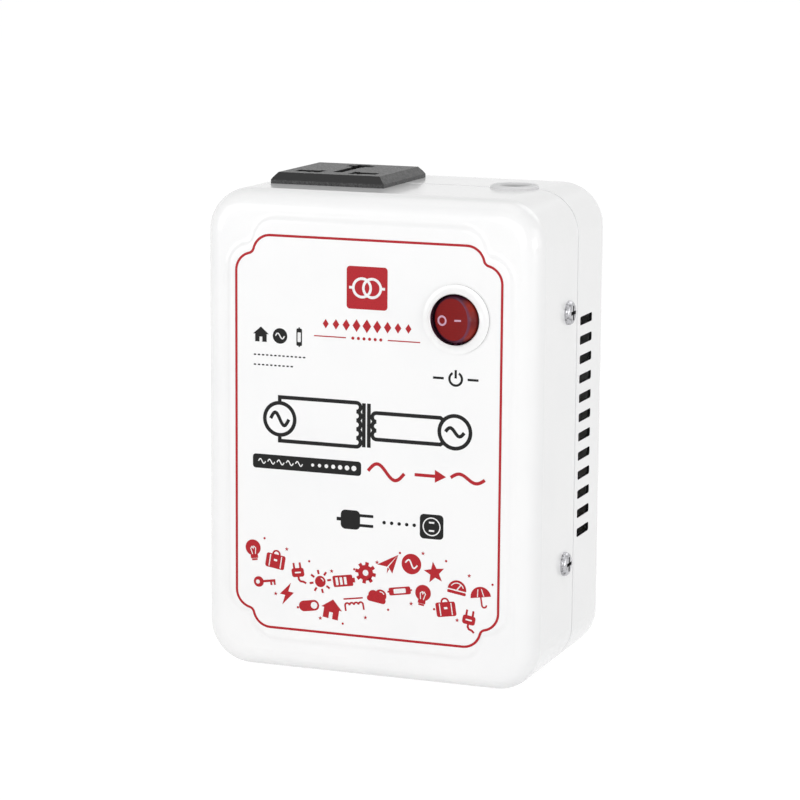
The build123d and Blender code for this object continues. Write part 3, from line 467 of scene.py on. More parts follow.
def wound_wire(name, tint, pitch):
    """Turns of enamelled wire side by side, as ridges round the winding, with painted shade between the turns."""
    finish = Finish(name, Metallic=0.7, Coat_Weight=0.8, Coat_Roughness=0.2)
    ridges = finish.stripes("Z", pitch)
    drift = finish.noise(5 * MM, detail=2)
    # Painted shade: the copper is darker between the turns, where the ridges dip.
    darker = shaded(tint, 0.45)
    base = finish.mix(ridges, darker, finish.mix(drift, tint, darker))
    return finish.done(base, 0.3 + drift * 0.15, ridges, pitch / 4)


def tape(look):
    """Yellow coil tape with the edges of its laps."""
    finish = Finish("coil_tape", Coat_Weight=0.4, Coat_Roughness=0.25)
    laps = finish.maths("FRACT", finish.part("Z") / look.lap)
    lines = finish.step(laps, 0.94, 1.0)
    creases = finish.noise(6 * MM, detail=3)
    base = finish.mix(lines, look.tape, shaded(look.tape, 0.55))
    return finish.done(base, 0.35 + creases * 0.2, laps * 0.6 + creases * 0.4, 0.12 * MM)


def resistor_bands():
    """Beige resistor with four colour bands along its length."""
    finish = Finish("banded_resistor", Roughness=0.4, Coat_Weight=0.5)
    low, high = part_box("lamp_resistor")
    along = (finish.part("Y") - low.y) / (high.y - low.y)
    body = finish.noise(1.5 * MM)
    tone = finish.mix(body, (0.62, 0.46, 0.27), (0.5, 0.36, 0.2))
    bands = ((0.22, (0.2, 0.05, 0.02)), (0.38, (0.02, 0.02, 0.02)), (0.54, (0.6, 0.25, 0.02)), (0.78, (0.6, 0.45, 0.1)))
    for place, tint in bands:
        tone = finish.mix(abs(along - place) < 0.045, tone, tint)
    finish.set("Base Color", tone)
    return finish.material


def clear_glass():
    """Thin clear glass of the indicator lamp, with its electrodes' glow colour."""
    finish = Finish("lamp_glass", IOR=1.45, Transmission_Weight=0.85, Roughness=0.05)
    haze = finish.noise(2 * MM)
    finish.set("Base Color", finish.mix(haze, (0.95, 0.8, 0.7), (0.9, 0.62, 0.5)))
    return finish.material


def lens(look):
    """Clear red rocker: even red on its face, painted shade round its rim, a painted highlight by the face's right
    edge, and painted light through its right side.
    """
    finish = Finish("red_lens", Specular_IOR_Level=0.1)
    turned = finish.vector("SUBTRACT", finish.place, SWITCH_PIVOT)
    local = finish.node("ShaderNodeMapping", None, {"Vector": turned, "Rotation": (0, 0, ROCKER_TILT)})
    across, up = finish.part("X", local), finish.part("Z", local)
    radius = finish.vector("LENGTH", finish.vector("MULTIPLY", local, (1, 0, 1)), output="Value")
    front = finish.part("Y", local) < 0
    face = (1 - finish.step(radius, look.face_radius - 0.25 * MM, look.face_radius + 0.05 * MM)) * front
    ripples = finish.noise(1.6 * MM, detail=2)
    through = 0.55 + finish.step(abs(up), 0.6 * MM, 4.2 * MM) * 0.45
    through = finish.step(across, look.glow_start, look.glow_end) * through
    # Painted shade on the rocker's sides, with painted light through its right side.
    side = finish.mix(through * (0.6 + ripples * 0.6), look.rim, look.glow)
    # Painted highlight: a pale purple line round the right of the face's edge.
    edge = finish.step(radius, look.face_radius - 0.3 * MM, look.face_radius) * finish.step(across, 0, 4 * MM)
    edge = edge * (1 - finish.step(radius, look.face_radius + 0.3 * MM, look.face_radius + 0.8 * MM))
    side = finish.mix(edge * 0.8, side, look.haze)
    grooves = finish.stripes("Z", 0.9 * MM)
    even = finish.mix(grooves * 0.15 + ripples * 0.3, look.lens, shaded(look.lens, 0.7))
    return finish.done(finish.mix(face, side, even), 0.12 + ripples * 0.08, ripples, 0.004 * MM)


def bezel(look):
    """White switch plastic with painted shade and a painted red reflection inside the rocker's well, and painted shade
    at its foot.
    """
    finish = Finish("bezel_plastic", IOR=1.5, Coat_Weight=0.3, Coat_Roughness=0.08)
    from_axis = finish.from_point(SWITCH_PIVOT, (1, 0, 1))
    depth = finish.part("Y") - BEZEL_LOW.y
    # Painted shade and painted reflection: dark purple inside the rocker's well.
    inside = 1 - finish.step(from_axis, look.well_radius - 0.07 * MM, look.well_radius)
    inside = inside * finish.step(depth, look.well_lip, look.well_lip + 0.2 * MM)
    cloud = finish.noise(9 * MM)
    white = finish.mix(finish.step(cloud, 0.4, 0.7), look.bezel, shaded(look.bezel, 0.975))
    # Painted shade: grey on the bezel's lower edge next to the panel.
    foot = finish.step(finish.part("Y"), PANEL_FACE - 0.45 * MM, PANEL_FACE - 0.15 * MM)
    white = finish.mix(foot * 0.8, white, look.foot)
    return finish.done(finish.mix(inside, white, look.well), 0.2 + cloud * 0.08, finish.noise(1.2 * MM), 0.004 * MM)


def dress(material, *nodes):
    """Give CAD nodes a finish in place of the plain one."""
    for name in nodes:
        mesh = frame["nodes"][name].data
        mesh.materials.clear()
        mesh.materials.append(material)


class Pen:
    """Draws flat shapes, in millimetres, that become one layer of print."""

    def __init__(self):
        self.mesh = bmesh.new()
        self.drawn = 0

    def height(self):
        """A hair above the shape before, so that no two faces share a plane where shapes cross."""
        self.drawn += 1
        return self.drawn % 8 * HAIR

    def disc(self, x, y, radius, sides=20):
        place = Matrix.Translation((x, y, self.height()))
        bmesh.ops.create_circle(self.mesh, cap_ends=True, segments=sides, radius=radius, matrix=place)

    def hoop(self, x, y, radius, width, start=0, turn=360, steps=24):
        """Ring, or an arc of one, with its middle line at radius."""
        heading = Vector((math.cos(math.radians(start)), math.sin(math.radians(start)), 0))
        centre = Vector((x, y, self.height()))
        ends = [self.mesh.verts.new(centre + heading * (radius + side * width / 2)) for side in (-1, 1)]
        edge = self.mesh.edges.new(ends)
        sweep = {"axis": (0, 0, 1), "angle": math.radians(turn), "steps": steps, "use_merge": abs(turn) == 360}
        bmesh.ops.spin(self.mesh, geom=[*ends, edge], cent=centre, **sweep)

    def stroke(self, points, width):
        """Line of one width through points, mitred at its corners."""
        height = self.height()
        points = [Vector((x, y, height)) for x, y in points]
        runs = [(after - before).normalized() for before, after in zip(points, points[1:])]
        edge = None
        for place, before, after in zip(points, [runs[0], *runs], [*runs, runs[-1]]):
            along = (before + after).normalized()
            across = Vector((-along.y, along.x, 0)) * (width / 2 / max(along.dot(before), 0.3))
            if edge is None:
                pair = [self.mesh.verts.new(place - across), self.mesh.verts.new(place + across)]
                edge = self.mesh.edges.new(pair)
                continue
            made = bmesh.ops.extrude_edge_only(self.mesh, edges=[edge])["geom"]
            edge = next(item for item in made if isinstance(item, bmesh.types.BMEdge))
            far = set(edge.verts)
            pair = [next(rung.other_vert(v) for rung in v.link_edges if rung.other_vert(v) in far) for v in pair]
            pair[0].co, pair[1].co = place - across, place + across

    def bar(self, x0, y0, x1, y1, width):
        self.stroke([(x0, y0), (x1, y1)], width)

    def shape(self, *points):
        height = self.height()
        self.mesh.faces.new([self.mesh.verts.new((x, y, height)) for x, y in points])

    def plate(self, x, y, width, height, corner=0.0):
        """Rectangle, with round corners where corner isn't nothing."""
        place = Matrix.Translation((x, y, self.height())) @ Matrix.Diagonal((width, height, 1, 1))
        made = bmesh.ops.create_grid(self.mesh, x_segments=1, y_segments=1, size=0.5, matrix=place)["verts"]
        if corner:
            rounding = {"offset": corner, "offset_type": "OFFSET", "affect": "VERTICES", "segments": 5}
            bmesh.ops.bevel(self.mesh, geom=made, profile=0.5, material=-1, **rounding)

    def sine(self, x, y, width, height, line, steps=16):
        """One full wave, centred on a point."""
        points = []
        for i in range(steps + 1):
            points.append((x + width * (i / steps - 0.5), y + height / 2 * math.sin(2 * math.pi * i / steps)))
        self.stroke(points, line)

    def spokes(self, start, near, far, width):
        """Eight bars that point out from the middle."""
        for i in range(8):
            angle = math.radians(start + 45 * i)
            x, y = math.cos(angle), math.sin(angle)
            self.bar(near * x, near * y, far * x, far * y, width)

    def moved(self, before, x, y, turn=0.0, scale=1.0):
        """Scale, turn and place what was drawn since before."""
        added = [vert for vert in self.mesh.verts if vert not in before]
        bmesh.ops.scale(self.mesh, vec=(scale, scale, 1), verts=added)
        bmesh.ops.rotate(self.mesh, cent=(0, 0, 0), matrix=Matrix.Rotation(math.radians(turn), 3, "Z"), verts=added)
        bmesh.ops.translate(self.mesh, vec=(x, y, 0), verts=added)

    def lay(self, name, place, low, high, material, body="root"):
        """Make the layer solid between two heights, place it and let it ride on a body."""
        mesh = self.mesh
        bmesh.ops.remove_doubles(mesh, verts=mesh.verts, dist=0.001)
        bmesh.ops.recalc_face_normals(mesh, faces=mesh.faces)
        bmesh.ops.scale(mesh, vec=(MM, MM, 1), verts=mesh.verts)
        bmesh.ops.translate(mesh, vec=(0, 0, low), verts=mesh.verts)
        raised = bmesh.ops.extrude_face_region(mesh, geom=mesh.faces[:], use_keep_orig=True)["geom"]
        lifted = [item for item in raised if isinstance(item, bmesh.types.BMVert)]
        bmesh.ops.translate(mesh, vec=(0, 0, high - low), verts=lifted)
        bmesh.ops.recalc_face_normals(mesh, faces=mesh.faces)
        return keep(mesh, name, place, material, body)


def shown(name, data):
    """An object of a mesh, a lamp or a camera, linked to the scene."""
    made = bpy.data.objects.new(name, data)
    bpy.context.scene.collection.objects.link(made)
    return made


def keep(mesh, name, place, material, body):
    """Turn a bmesh into an object at the origin that rides on a CAD body."""
    bmesh.ops.transform(mesh, matrix=place, verts=mesh.verts)
    data = bpy.data.meshes.new(name)
    mesh.to_mesh(data)
    mesh.free()
    data.materials.append(material)
    piece = shown(name, data)
    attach(piece, body)
    return piece


# Motifs, each about 8 mm high round the origin: ink is the colour, light the white drawn on it
def draw_bulb(ink, light):
    ink.disc(0, 0.8, 2.7, sides=28)
    ink.plate(0, -2.2, 2.6, 1.2, 0.2)
    ink.plate(0, -3.2, 2.0, 0.6, 0.15)
    light.stroke([(-0.5, -1.4), (-0.9, 0.6), (-0.3, 1.2), (0, 0.5), (0.3, 1.2), (0.9, 0.6), (0.5, -1.4)], 0.28)


def draw_plug(ink, light):
    ink.plate(0, 0.1, 4.4, 3.0, 0.8)
    for side in (-1, 1):
        ink.plate(side * 1.1, 2.4, 0.7, 2.0, 0.1)
    ink.stroke([(0, -1.2), (0, -2.2), (0.5, -2.9), (1.5, -3.1), (2.4, -3.7)], 0.7)
    light.plate(0, 0.1, 2.2, 0.5, 0.2)


def draw_battery(ink, light):
    ink.plate(0, 0, 7.0, 3.8, 0.5)
    ink.plate(3.9, 0, 0.8, 1.6, 0.15)
    for i in range(3):
        light.plate(-2.1 + 1.5 * i, 0, 0.9, 2.5, 0.15)


def draw_gear(ink, light):
    ink.disc(0, 0, 2.6, sides=32)
    ink.spokes(0, 2.2, 3.6, 1.2)
    light.disc(0, 0, 1.0)


def draw_bolt(ink, light):
    ink.shape((0.9, 4.0), (-2.4, -0.6), (-0.5, -0.6), (-1.0, -4.0), (2.4, 0.9), (0.4, 0.9))


def draw_sun(ink, light):
    ink.disc(0, 0, 1.9, sides=28)
    ink.spokes(22.5, 2.5, 3.9, 0.7)
    light.hoop(0, 0, 1.1, 0.3, start=20, turn=70, steps=6)


def star_points(x, y, outer, inner):
    """Corners of a five-pointed star."""
    reaches = [(outer if i % 2 == 0 else inner, math.radians(90 + 36 * i)) for i in range(10)]
    return [(x + reach * math.cos(angle), y + reach * math.sin(angle)) for reach, angle in reaches]


def draw_star(ink, light):
    ink.shape(*star_points(0, 0, 3.7, 1.6))


def draw_case(ink, light):
    ink.plate(0, -0.6, 6.8, 4.8, 0.7)
    ink.hoop(0, 1.8, 1.2, 0.6, turn=180, steps=10)
    for side in (-1, 1):
        light.plate(side * 2.0, -0.6, 0.35, 4.0)
    light.plate(0, -0.2, 1.2, 0.7, 0.2)


def draw_coil(ink, light):
    for i in range(4):
        ink.hoop(-2.4 + 1.6 * i, 0, 0.8, 0.6, turn=180, steps=10)
    for side in (-1, 1):
        ink.bar(side * 3.2, 0, side * 3.2, -1.8, 0.6)
    ink.bar(-3.4, 2.2, 3.4, 2.2, 0.5)


def draw_source(ink, light):
    ink.disc(0, 0, 3.4, sides=32)
    light.sine(0, 0, 4.2, 2.4, 0.5)


def draw_meter(ink, light):
    ink.hoop(0, -1.2, 1.6, 3.2, turn=180, steps=16)
    ink.plate(0, -2.1, 6.4, 1.0, 0.3)
    light.hoop(0, -1.2, 2.3, 0.3, start=25, turn=130, steps=10)
    light.bar(0, -1.2, 1.2, 0.9, 0.4)


def draw_glider(ink, light):
    ink.shape((-3.9, 0.4), (3.9, 3.0), (-0.6, -0.6))
    ink.shape((3.9, 3.0), (0.9, -3.0), (-0.1, -0.7))
    ink.shape((-0.5, -0.9), (0.1, -1.4), (-1.0, -2.8))


def draw_cloud(ink, light):
    ink.plate(0, -1.2, 6.6, 2.0, 0.95)
    ink.disc(-1.3, 0.0, 1.7)
    ink.disc(1.2, 0.4, 2.1)
    light.hoop(1.2, 0.4, 1.3, 0.3, start=30, turn=80, steps=6)


def draw_shade(ink, light):
    ink.hoop(0, -0.3, 1.75, 3.5, turn=180, steps=18)
    ink.bar(0, -0.3, 0, -3.0, 0.55)
    ink.hoop(0.75, -3.0, 0.75, 0.55, start=180, turn=180, steps=8)
    for side in (-1, 1):
        light.bar(side * 1.1, -0.1, side * 0.6, 2.4, 0.28)


def draw_key(ink, light):
    ink.disc(-2.1, 0, 1.8)
    ink.bar(-1.0, 0, 3.9, 0, 0.8)
    for x in (2.3, 3.5):
        ink.bar(x, 0, x, -1.5, 0.7)
    light.disc(-2.4, 0, 0.7)


def draw_fuse(ink, light):
    ink.plate(0, 0, 7.6, 2.6, 0.6)
    light.plate(0, 0, 4.2, 1.5, 0.3)
    for side in (-1, 1):
        ink.bar(side * 3.8, 0, side * 4.3, 0, 0.6)


def draw_house(ink, light):
    ink.shape((-3.7, 0.4), (0, 3.6), (3.7, 0.4), (2.7, 0.4), (2.7, -3.0), (-2.7, -3.0), (-2.7, 0.4))
    light.plate(0, -1.9, 1.3, 2.2)


def draw_toggle(ink, light):
    ink.plate(0, 0, 7.2, 3.6, 1.75)
    light.disc(1.8, 0, 1.15)


MOTIFS = [
    *(draw_bulb, draw_case, draw_plug, draw_sun, draw_battery, draw_gear),
    *(draw_glider, draw_source, draw_star, draw_meter, draw_shade, draw_key),
    *(draw_bolt, draw_toggle, draw_house, draw_coil, draw_cloud, draw_fuse),
]


def stamp(draw, ink, light, x, y, turn, scale):
    """Draw a motif in its ink and its light, and scale, turn and place both."""
    before = set(ink.mesh.verts), set(light.mesh.verts)
    draw(ink, light)
    ink.moved(before[0], x, y, turn, scale)
    light.moved(before[1], x, y, turn, scale)


class CONVERTER_OT_enamel(bpy.types.Operator):
    """Paint both covers with glossy white enamel"""

    bl_idname = "converter.enamel"
    bl_label = "Enamel the covers"

    def execute(self, context):
        dress(enamel(context.scene.enamel_look), "front_cover", "rear_cover")
        return {"FINISHED"}


class CONVERTER_OT_fasteners(bpy.types.Operator):
    """Plate the screws, bolts, nuts and spacers"""

    bl_idname = "converter.fasteners"
    bl_label = "Plate the fasteners"

    def execute(self, context):
        look = context.scene.metal_look
        nickel = cross_head("bright_nickel", look.nickel, look, "cover_screws", "X", look.screw_head, True)
        dress(nickel, "cover_screws")
        bolts = cross_head("bright_zinc", look.zinc, look, "core_bolts", "Y", look.bolt_head, False)
        dress(bolts, "core_bolts")
        zinc = plated("zinc_plate", look.zinc, 0.3)
        dress(zinc, "core_nuts", "core_spacers", "core_washers", "socket_screws", "earth_lug")
        return {"FINISHED"}


class CONVERTER_OT_switch(bpy.types.Operator):
    """Finish the switch's bezel, rocker, contacts and lamp"""

    bl_idname = "converter.switch"
    bl_label = "Finish the switch"

    def execute(self, context):
        look = context.scene.switch_look
        metal = context.scene.metal_look
        brass = plated("contact_brass", metal.brass, 0.28)
        dress(bezel(look), "switch_housing")
        dress(lens(look), "rocker")
        dress(moulded("plunger_nylon", look.bezel, 0.35, 0.6 * MM, 0.01 * MM), "rocker_plunger")
        dress(plated("spring_steel", metal.steel, 0.25), "plunger_spring")
        dress(brass, "seesaw_contact", "common_terminal", "switched_terminal", "lamp_terminal")
        dress(clear_glass(), "neon_lamp")
        dress(resistor_bands(), "lamp_resistor")
        return {"FINISHED"}


class CONVERTER_OT_rocker_marks(bpy.types.Operator):
    """Print the ring and the dash on the rocker's hollow face"""

    bl_idname = "converter.rocker_marks"
    bl_label = "Mark the rocker"

    def execute(self, context):
        look = context.scene.switch_look
        paint = ink("rocker_mark_ink", look.mark, context.scene.ink_look)
        surface = BVHTree.FromObject(frame["nodes"]["rocker"], context.evaluated_depsgraph_get())
        pen = Pen()
        pen.hoop(look.ring_place / MM, 0, look.ring_radius / MM, look.mark_width / MM, steps=48)
        half = look.dash_length / 2 / MM
        middle = look.dash_place / MM
        dash = [(middle + half * (i / 4 - 1), 0) for i in range(9)]
        pen.stroke(dash, look.mark_width / MM)
        pen.moved(set(), 0, -look.marks_drop / MM, math.degrees(look.marks_turn))
        marks = pen.lay("rocker_marks", ON_ROCKER, 0, look.mark_film, paint, "rocker")
        outward = ON_ROCKER.to_3x3() @ Vector((0, 0, 1))
        floor = ON_ROCKER.translation.dot(outward)
        for vert in marks.data.vertices:
            above = vert.co.dot(outward) - floor
            start = vert.co + outward * (20 * MM)
            hit = surface.ray_cast(start, -outward)[0]
            vert.co = hit + outward * above
        return {"FINISHED"}


class CONVERTER_OT_socket(bpy.types.Operator):
    """Finish the socket's cover, base, contacts and the cord bushing"""

    bl_idname = "converter.socket"
    bl_label = "Finish the socket"

    def execute(self, context):
        look = context.scene.plastic_look
        brass = plated("clip_brass", context.scene.metal_look.brass, 0.26)
        dress(socket_plastic(look), "socket_cover", "socket_base")
        dress(brass, "live_contact", "neutral_contact", "earth_contact")
        dress(bushing(look), "cord_gland")
        return {"FINISHED"}


class CONVERTER_OT_transformer(bpy.types.Operator):
    """Finish the core, the coil and the wiring"""

    bl_idname = "converter.transformer"
    bl_label = "Finish the transformer"

    def execute(self, context):
        metal = context.scene.metal_look
        dress(laminations(metal), "core_e_stack", "core_i_stack")
        dress(moulded("bobbin_nylon", context.scene.plastic_look.nylon, 0.4, 0.5 * MM, 0.01 * MM), "bobbin")
        dress(wound_wire("common_turns", metal.copper, metal.wire_pitch), "common_winding")
        lighter = shaded(metal.copper, 1.25)
        dress(wound_wire("series_turns", lighter, metal.wire_pitch * 1.4), "series_winding")
        dress(tape(metal), "coil_wrap")
        dress(plated("cutout_shell", metal.steel, 0.35), "thermal_cutout")
        sleeves = {
            "switch_lead": (0.42, 0.02, 0.02),
            "output_lead": (0.62, 0.44, 0.03),
            "neutral_lead": (0.02, 0.02, 0.022),
            "earth_lead": (0.04, 0.26, 0.06),
        }
        for node, tint in sleeves.items():
            dress(moulded(f"{node}_sleeve", tint, 0.42, 0.4 * MM, 0.006 * MM), node)
        return {"FINISHED"}


class CONVERTER_OT_border(bpy.types.Operator):
    """Print the border line with its stepped corners"""

    bl_idname = "converter.border"
    bl_label = "Print the border"

    def execute(self, context):
        look = context.scene.ink_look
        sizes = context.scene.border_sizes
        left, middle = -sizes.half_width / MM, (sizes.top + sizes.foot) / 2 / MM
        top = sizes.top / MM - middle
        step, line, inner = sizes.step / MM, sizes.line / MM, sizes.round / MM
        away = (math.sqrt(step**2 + 2 * inner**2 + 4 * step * inner) - step) / 2
        reach = math.degrees(math.atan2(step + away, away))
        pen = Pen()
        pen.bar(left, 0, left, top - 2 * step, line)
        pen.hoop(left + step, top - 2 * step, step, line, start=180, turn=-reach, steps=sizes.arc_steps)
        pen.hoop(left + step - away, top - step + away, inner, line, -reach, 2 * reach - 90, sizes.arc_steps // 2)
        pen.hoop(left + 2 * step, top - step, step, line, start=90 + reach, turn=-reach, steps=sizes.arc_steps)
        pen.bar(left + 2 * step, top, 0, top, line)
        for axis in "XY":
            drawn = pen.mesh.verts[:] + pen.mesh.edges[:] + pen.mesh.faces[:]
            bmesh.ops.mirror(pen.mesh, geom=drawn, axis=axis, merge_dist=0.001)
        bmesh.ops.translate(pen.mesh, vec=(0, middle, 0), verts=pen.mesh.verts)
        pen.lay("panel_border", ON_PANEL, 0, look.film, ink("border_ink", look.red, look))
        return {"FINISHED"}


class CONVERTER_OT_motifs(bpy.types.Operator):
    """Print the band of small motifs along the foot of the panel"""

    bl_idname = "converter.motifs"
    bl_label = "Print the motifs"

    def execute(self, context):
        look = context.scene.ink_look
        sizes = context.scene.motif_sizes
        pitch, gap, scale = sizes.pitch / MM, sizes.row_gap / MM, sizes.size / (8 * MM)
        red, white = Pen(), Pen()
        order = 0
        for row, count in ((1, sizes.count), (-1, sizes.count - 1)):
            for i in range(count):
                x = (i - (count - 1) / 2) * pitch
                slope = sizes.swing / MM * math.sin(2 * math.pi * x / (sizes.wave / MM))
                y = sizes.middle / MM + slope + row * gap / 2
                stamp(MOTIFS[order % len(MOTIFS)], red, white, x, y, 9 * (-1) ** i, scale)
                order += 1
                if order % 2:
                    red.disc(x + pitch / 2, y + 4.4 * row, 0.42, sides=10)
                else:
                    red.shape(*star_points(x + pitch / 2, y + 4.0 * row, 0.75, 0.32))
        red.lay("motif_band", ON_PANEL, 0, look.film, ink("motif_ink", look.red, look))
        white.lay("motif_lights", ON_PANEL, look.film, 1.5 * look.film, ink("motif_white", look.white, look))
        return {"FINISHED"}


class CONVERTER_OT_emblem(bpy.types.Operator):
    """Print the plain red tile with the transformer sign and the rule under it"""

    bl_idname = "converter.emblem"
    bl_label = "Print the tile"

    def execute(self, context):
        look = context.scene.ink_look
        red, white = Pen(), Pen()
        tile, lozenges, rule = 134.4, 121.6, 117.3
        lozenge_pitch, line = 3.7, 0.9
        red.plate(0, tile, 14.6, 14.4, 1.2)
        for i in range(-4, 5):
            x, wide = lozenge_pitch * i, 1.55 - 0.12 * abs(i)
            tall = 1.5 * wide
            red.shape((x - wide, lozenges), (x, lozenges + tall), (x + wide, lozenges), (x, lozenges - tall))
        for side in (-1, 1):
            red.bar(side * 7.5, rule, side * 19, rule, 0.4)
            for i in (1, 3, 5):
                red.disc(side * i, rule, 0.55, sides=14)
        for side in (-1, 1):
            white.hoop(side * 1.8, tile, 3.1, line, steps=40)
            white.bar(side * 5.2, tile, side * 6.4, tile, line)
        red.lay("tile_print", ON_PANEL, 0, look.film, ink("tile_ink", look.red, look))
        white.lay("tile_sign", ON_PANEL, look.film, 1.5 * look.film, ink("tile_white", look.white, look))
        return {"FINISHED"}


class CONVERTER_OT_signs(bpy.types.Operator):
    """Print the black signs: the switch's sign, the coil diagram, the strip and the small pictures"""

    bl_idname = "converter.signs"
    bl_label = "Print the signs"

    def execute(self, context):
        look = context.scene.ink_look
        black, white, red = Pen(), Pen(), Pen()
        self.switch_sign(black)
        self.small_pictures(black, white)
        self.coil_diagram(black)
        self.strip(black, white)
        self.waves(red)
        self.plug_and_socket(black, white)
        black.lay("black_signs", ON_PANEL, 0, look.film, ink("sign_ink", look.black, look))
        white.lay("sign_lights", ON_PANEL, look.film, 1.5 * look.film, ink("sign_white", look.white, look))
        red.lay("wave_print", ON_PANEL, 0, look.film, ink("wave_ink", look.red, look))
        return {"FINISHED"}

    def switch_sign(self, black):
        x, y, line = SWITCH_PIVOT.x / MM, 105.9, 0.8
        black.hoop(x, y, 2.2, line, start=120, turn=300, steps=30)
        black.bar(x, y + 0.2, x, y + 3.0, line)
        for side in (-1, 1):
            black.bar(x + side * 4.2, y, x + side * 8.0, y, line)

    def small_pictures(self, black, white):
        y, scale = 116.4, 0.78
        for x, draw, turn in ((-38.4, draw_house, 0), (-31.4, draw_source, 0), (-24.4, draw_fuse, 90)):
            stamp(draw, black, white, x, y, turn, scale)
        for row, count in ((109.6, 13), (106.2, 10)):
            for i in range(count):
                black.plate(-40.6 + 1.5 * i, row, 0.9, 0.5, 0.2)

    def coil_diagram(self, black):
        y, line, bend = 88.0, 1.3, 1.5
        for side in (-1, 1):
            turns = 5 if side < 0 else 3
            for i in range(turns):
                height = y + (i - (turns - 1) / 2) * 2 * bend
                black.hoop(side * 3.6, height, bend, line, start=90 * side, turn=180, steps=12)
            end = bend * turns
            for up in (-1, 1):
                black.bar(side * 3.6, y + up * end, side * 26.0, y + up * end, line)
            black.bar(side * 0.9, y - 7.5, side * 0.9, y + 7.5, line)
            black.hoop(side * 31.5, y, 5.5, line, steps=40)
            black.sine(side * 31.5, y, 6.6, 3.6 + side * -0.8, line * 0.9)
        for up in (-1, 1):
            black.stroke([(-26.0, y + up * 7.5), (-31.5, y + up * 7.5), (-31.5, y + up * 6.0)], line)
            black.stroke([(26.0, y + up * 4.5), (26.4, y + up * 4.5), (27.2, y + up * 3.9)], line)

    def strip(self, black, white):
        y = 73.0
        black.plate(-21.6, y, 39.6, 4.9, 1.1)
        for i in range(5):
            white.sine(-38.0 + 3.4 * i, y, 2.6, 1.6, 0.36, steps=10)
        for i in range(7):
            white.disc(-19.4 + 2.5 * i, y, 0.55 + 0.06 * i, sides=14)

    def waves(self, red):
        y, line = 72.6, 1.15
        red.sine(7.2, y, 13.0, 5.2, line, steps=28)
        red.bar(17.4, y, 25.4, y, 1.1)
        red.shape((24.6, 70.4), (28.6, y), (24.6, 74.8))
        red.sine(36.2, y, 12.0, 2.8, line, steps=28)

    def plug_and_socket(self, black, white):
        y, socket = 55.3, 23.6
        black.plate(-5.6, y, 7.0, 6.6, 1.6)
        black.bar(-10.6, y, -8.6, y, 1.2)
        for up in (-1, 1):
            black.plate(0.2, y + up * 1.7, 5.0, 1.0, 0.2)
        black.plate(socket, y, 8.4, 8.4, 1.4)
        white.hoop(socket, y, 3.0, 0.4, steps=32)
        for up in (-1, 1):
            white.plate(socket, y + up * 1.4, 1.9, 0.6)
        for i in range(5):
            black.disc(6.6 + 2.7 * i, y, 0.62, sides=14)


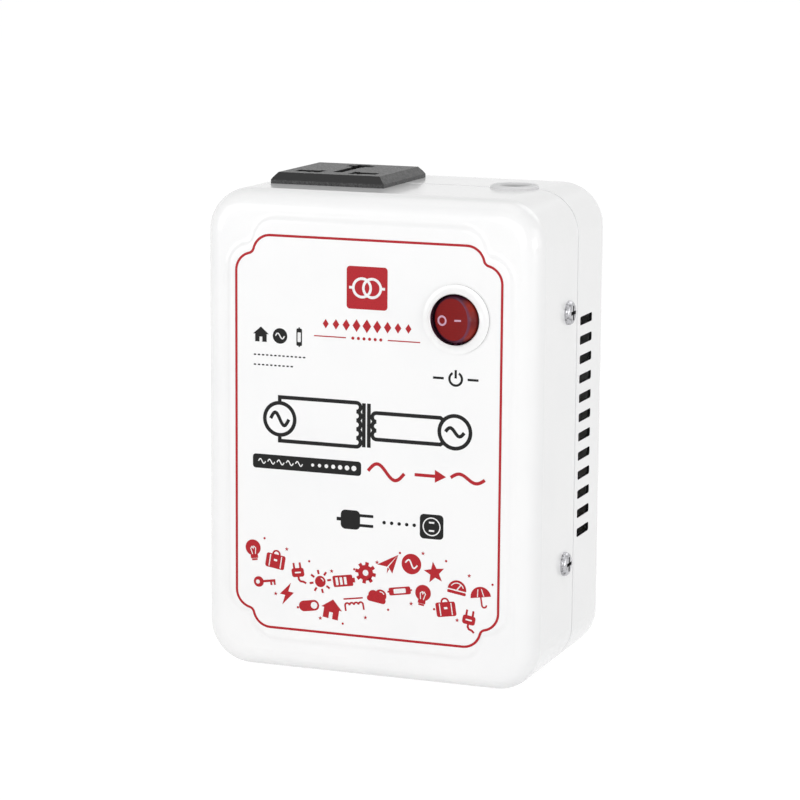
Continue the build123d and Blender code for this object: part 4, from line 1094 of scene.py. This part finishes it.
class CONVERTER_OT_studio(bpy.types.Operator):
    """Set up the floor, the lamps, the sky and the camera"""

    bl_idname = "converter.studio"
    bl_label = "Set up the studio"

    def execute(self, context):
        look = context.scene.studio_look
        self.floor(look)
        self.sky(context, look)
        self.lamps()
        self.camera(context, look)
        context.scene.view_settings.view_transform = "Standard"
        return {"FINISHED"}

    def floor(self, look):
        ground = bmesh.new()
        bmesh.ops.create_grid(ground, x_segments=2, y_segments=2, size=6)
        data = bpy.data.meshes.new("studio_floor")
        ground.to_mesh(data)
        ground.free()
        finish = Finish("floor_paper", Roughness=0.9, Specular_IOR_Level=0.0)
        finish.set("Base Color", finish.mix(finish.noise(0.3), (0.94, 0.94, 0.94), (0.93, 0.93, 0.93)))
        glow = finish.node("ShaderNodeEmission", None, {"Strength": look.floor_strength})
        paper = Signal(finish, finish.shader.outputs["BSDF"])
        mixed = finish.node("ShaderNodeMixShader", None, {0: finish.seen() * look.floor_glow, 1: paper, 2: glow})
        finish.feed(finish.output.inputs["Surface"], mixed)
        data.materials.append(finish.material)
        floor = shown("studio_floor", data)

    def sky(self, context, look):
        world = bpy.data.worlds.new("studio_sky")
        world.use_nodes = True
        air = Nodes(world.node_tree)
        light = air.node("ShaderNodeBackground", None, {"Color": (1, 1, 1), "Strength": look.sky})
        backdrop = air.node("ShaderNodeBackground", None, {"Color": (1, 1, 1), "Strength": look.backdrop})
        mixed = air.node("ShaderNodeMixShader", None, {0: air.seen(), 1: light, 2: backdrop})
        air.node("ShaderNodeOutputWorld", None, {"Surface": mixed}, output=None)
        context.scene.world = world

    def lamps(self):
        """Soft boxes in front, to both sides, overhead and behind."""
        boxes = {
            "front_box": ((0.05, -1.8, 0.3), 1.2, 10.5),
            "left_box": ((-1.1, -1.3, 0.32), 1.0, 8.1),
            "right_box": ((1.7, -0.15, 0.45), 1.2, 4.6),
            "low_box": ((1.4, -0.7, 0.1), 0.6, 4.7),
            "top_box": ((0.0, 0.0, 1.7), 1.2, 3.5),
            "rear_box": ((0.5, 1.2, 1.2), 1.0, 3.2),
        }
        for name, (place, size, power) in boxes.items():
            data = bpy.data.lights.new(name, "AREA")
            data.shape = "SQUARE"
            data.size = size
            data.energy = power
            lamp = shown(name, data)
            lamp.location = place
            aim = Vector((0, 0, 0.08)) - Vector(place)
            lamp.rotation_euler = aim.to_track_quat("-Z", "Y").to_euler()

    def camera(self, context, look):
        azimuth, elevation, roll = look.azimuth, look.elevation, look.roll
        level = math.cos(elevation)
        back = Vector((math.sin(azimuth) * level, -math.cos(azimuth) * level, math.sin(elevation)))
        right = Vector((math.cos(azimuth), math.sin(azimuth), 0))
        up = back.cross(right)
        aim = Vector((0, 0, look.aim_height)) - right * look.aim_left + up * look.aim_up
        turned_right = right * math.cos(roll) + up * math.sin(roll)
        turned_up = up * math.cos(roll) - right * math.sin(roll)
        data = bpy.data.cameras.new("studio_camera")
        data.lens = look.lens
        data.sensor_width = 36
        data.clip_start = 0.05
        camera = shown("studio_camera", data)
        turned = Matrix((turned_right, turned_up, back)).transposed().to_4x4()
        camera.matrix_world = Matrix.Translation(aim + back * look.distance) @ turned
        context.scene.camera = camera


STEPS = [
    CONVERTER_OT_enamel,
    CONVERTER_OT_fasteners,
    CONVERTER_OT_switch,
    CONVERTER_OT_rocker_marks,
    CONVERTER_OT_socket,
    CONVERTER_OT_transformer,
    CONVERTER_OT_border,
    CONVERTER_OT_motifs,
    CONVERTER_OT_emblem,
    CONVERTER_OT_signs,
    CONVERTER_OT_studio,
]


class CONVERTER_PT_steps(bpy.types.Panel):
    """List the steps in the order in which they run"""

    bl_idname = "CONVERTER_PT_steps"
    bl_label = "Voltage converter"
    bl_space_type = "VIEW_3D"
    bl_region_type = "UI"
    bl_category = "Converter"

    def draw(self, context):
        for step in STEPS:
            self.layout.operator(step.bl_idname)


LOOKS = {
    "enamel_look": EnamelLook,
    "ink_look": InkLook,
    "border_sizes": BorderSizes,
    "motif_sizes": MotifSizes,
    "switch_look": SwitchLook,
    "plastic_look": PlasticLook,
    "metal_look": MetalLook,
    "studio_look": StudioLook,
}


def register():
    for name, group in LOOKS.items():
        bpy.utils.register_class(group)
        setattr(bpy.types.Scene, name, PointerProperty(type=group))
    for step in STEPS:
        bpy.utils.register_class(step)
    bpy.utils.register_class(CONVERTER_PT_steps)


def unregister():
    bpy.utils.unregister_class(CONVERTER_PT_steps)
    for step in reversed(STEPS):
        bpy.utils.unregister_class(step)
    for name, group in reversed(LOOKS.items()):
        delattr(bpy.types.Scene, name)
        bpy.utils.unregister_class(group)


def main():
    register()
    for step in STEPS:
        group, name = step.bl_idname.split(".")
        getattr(getattr(bpy.ops, group), name)()


if __name__ == "__main__":
    main()
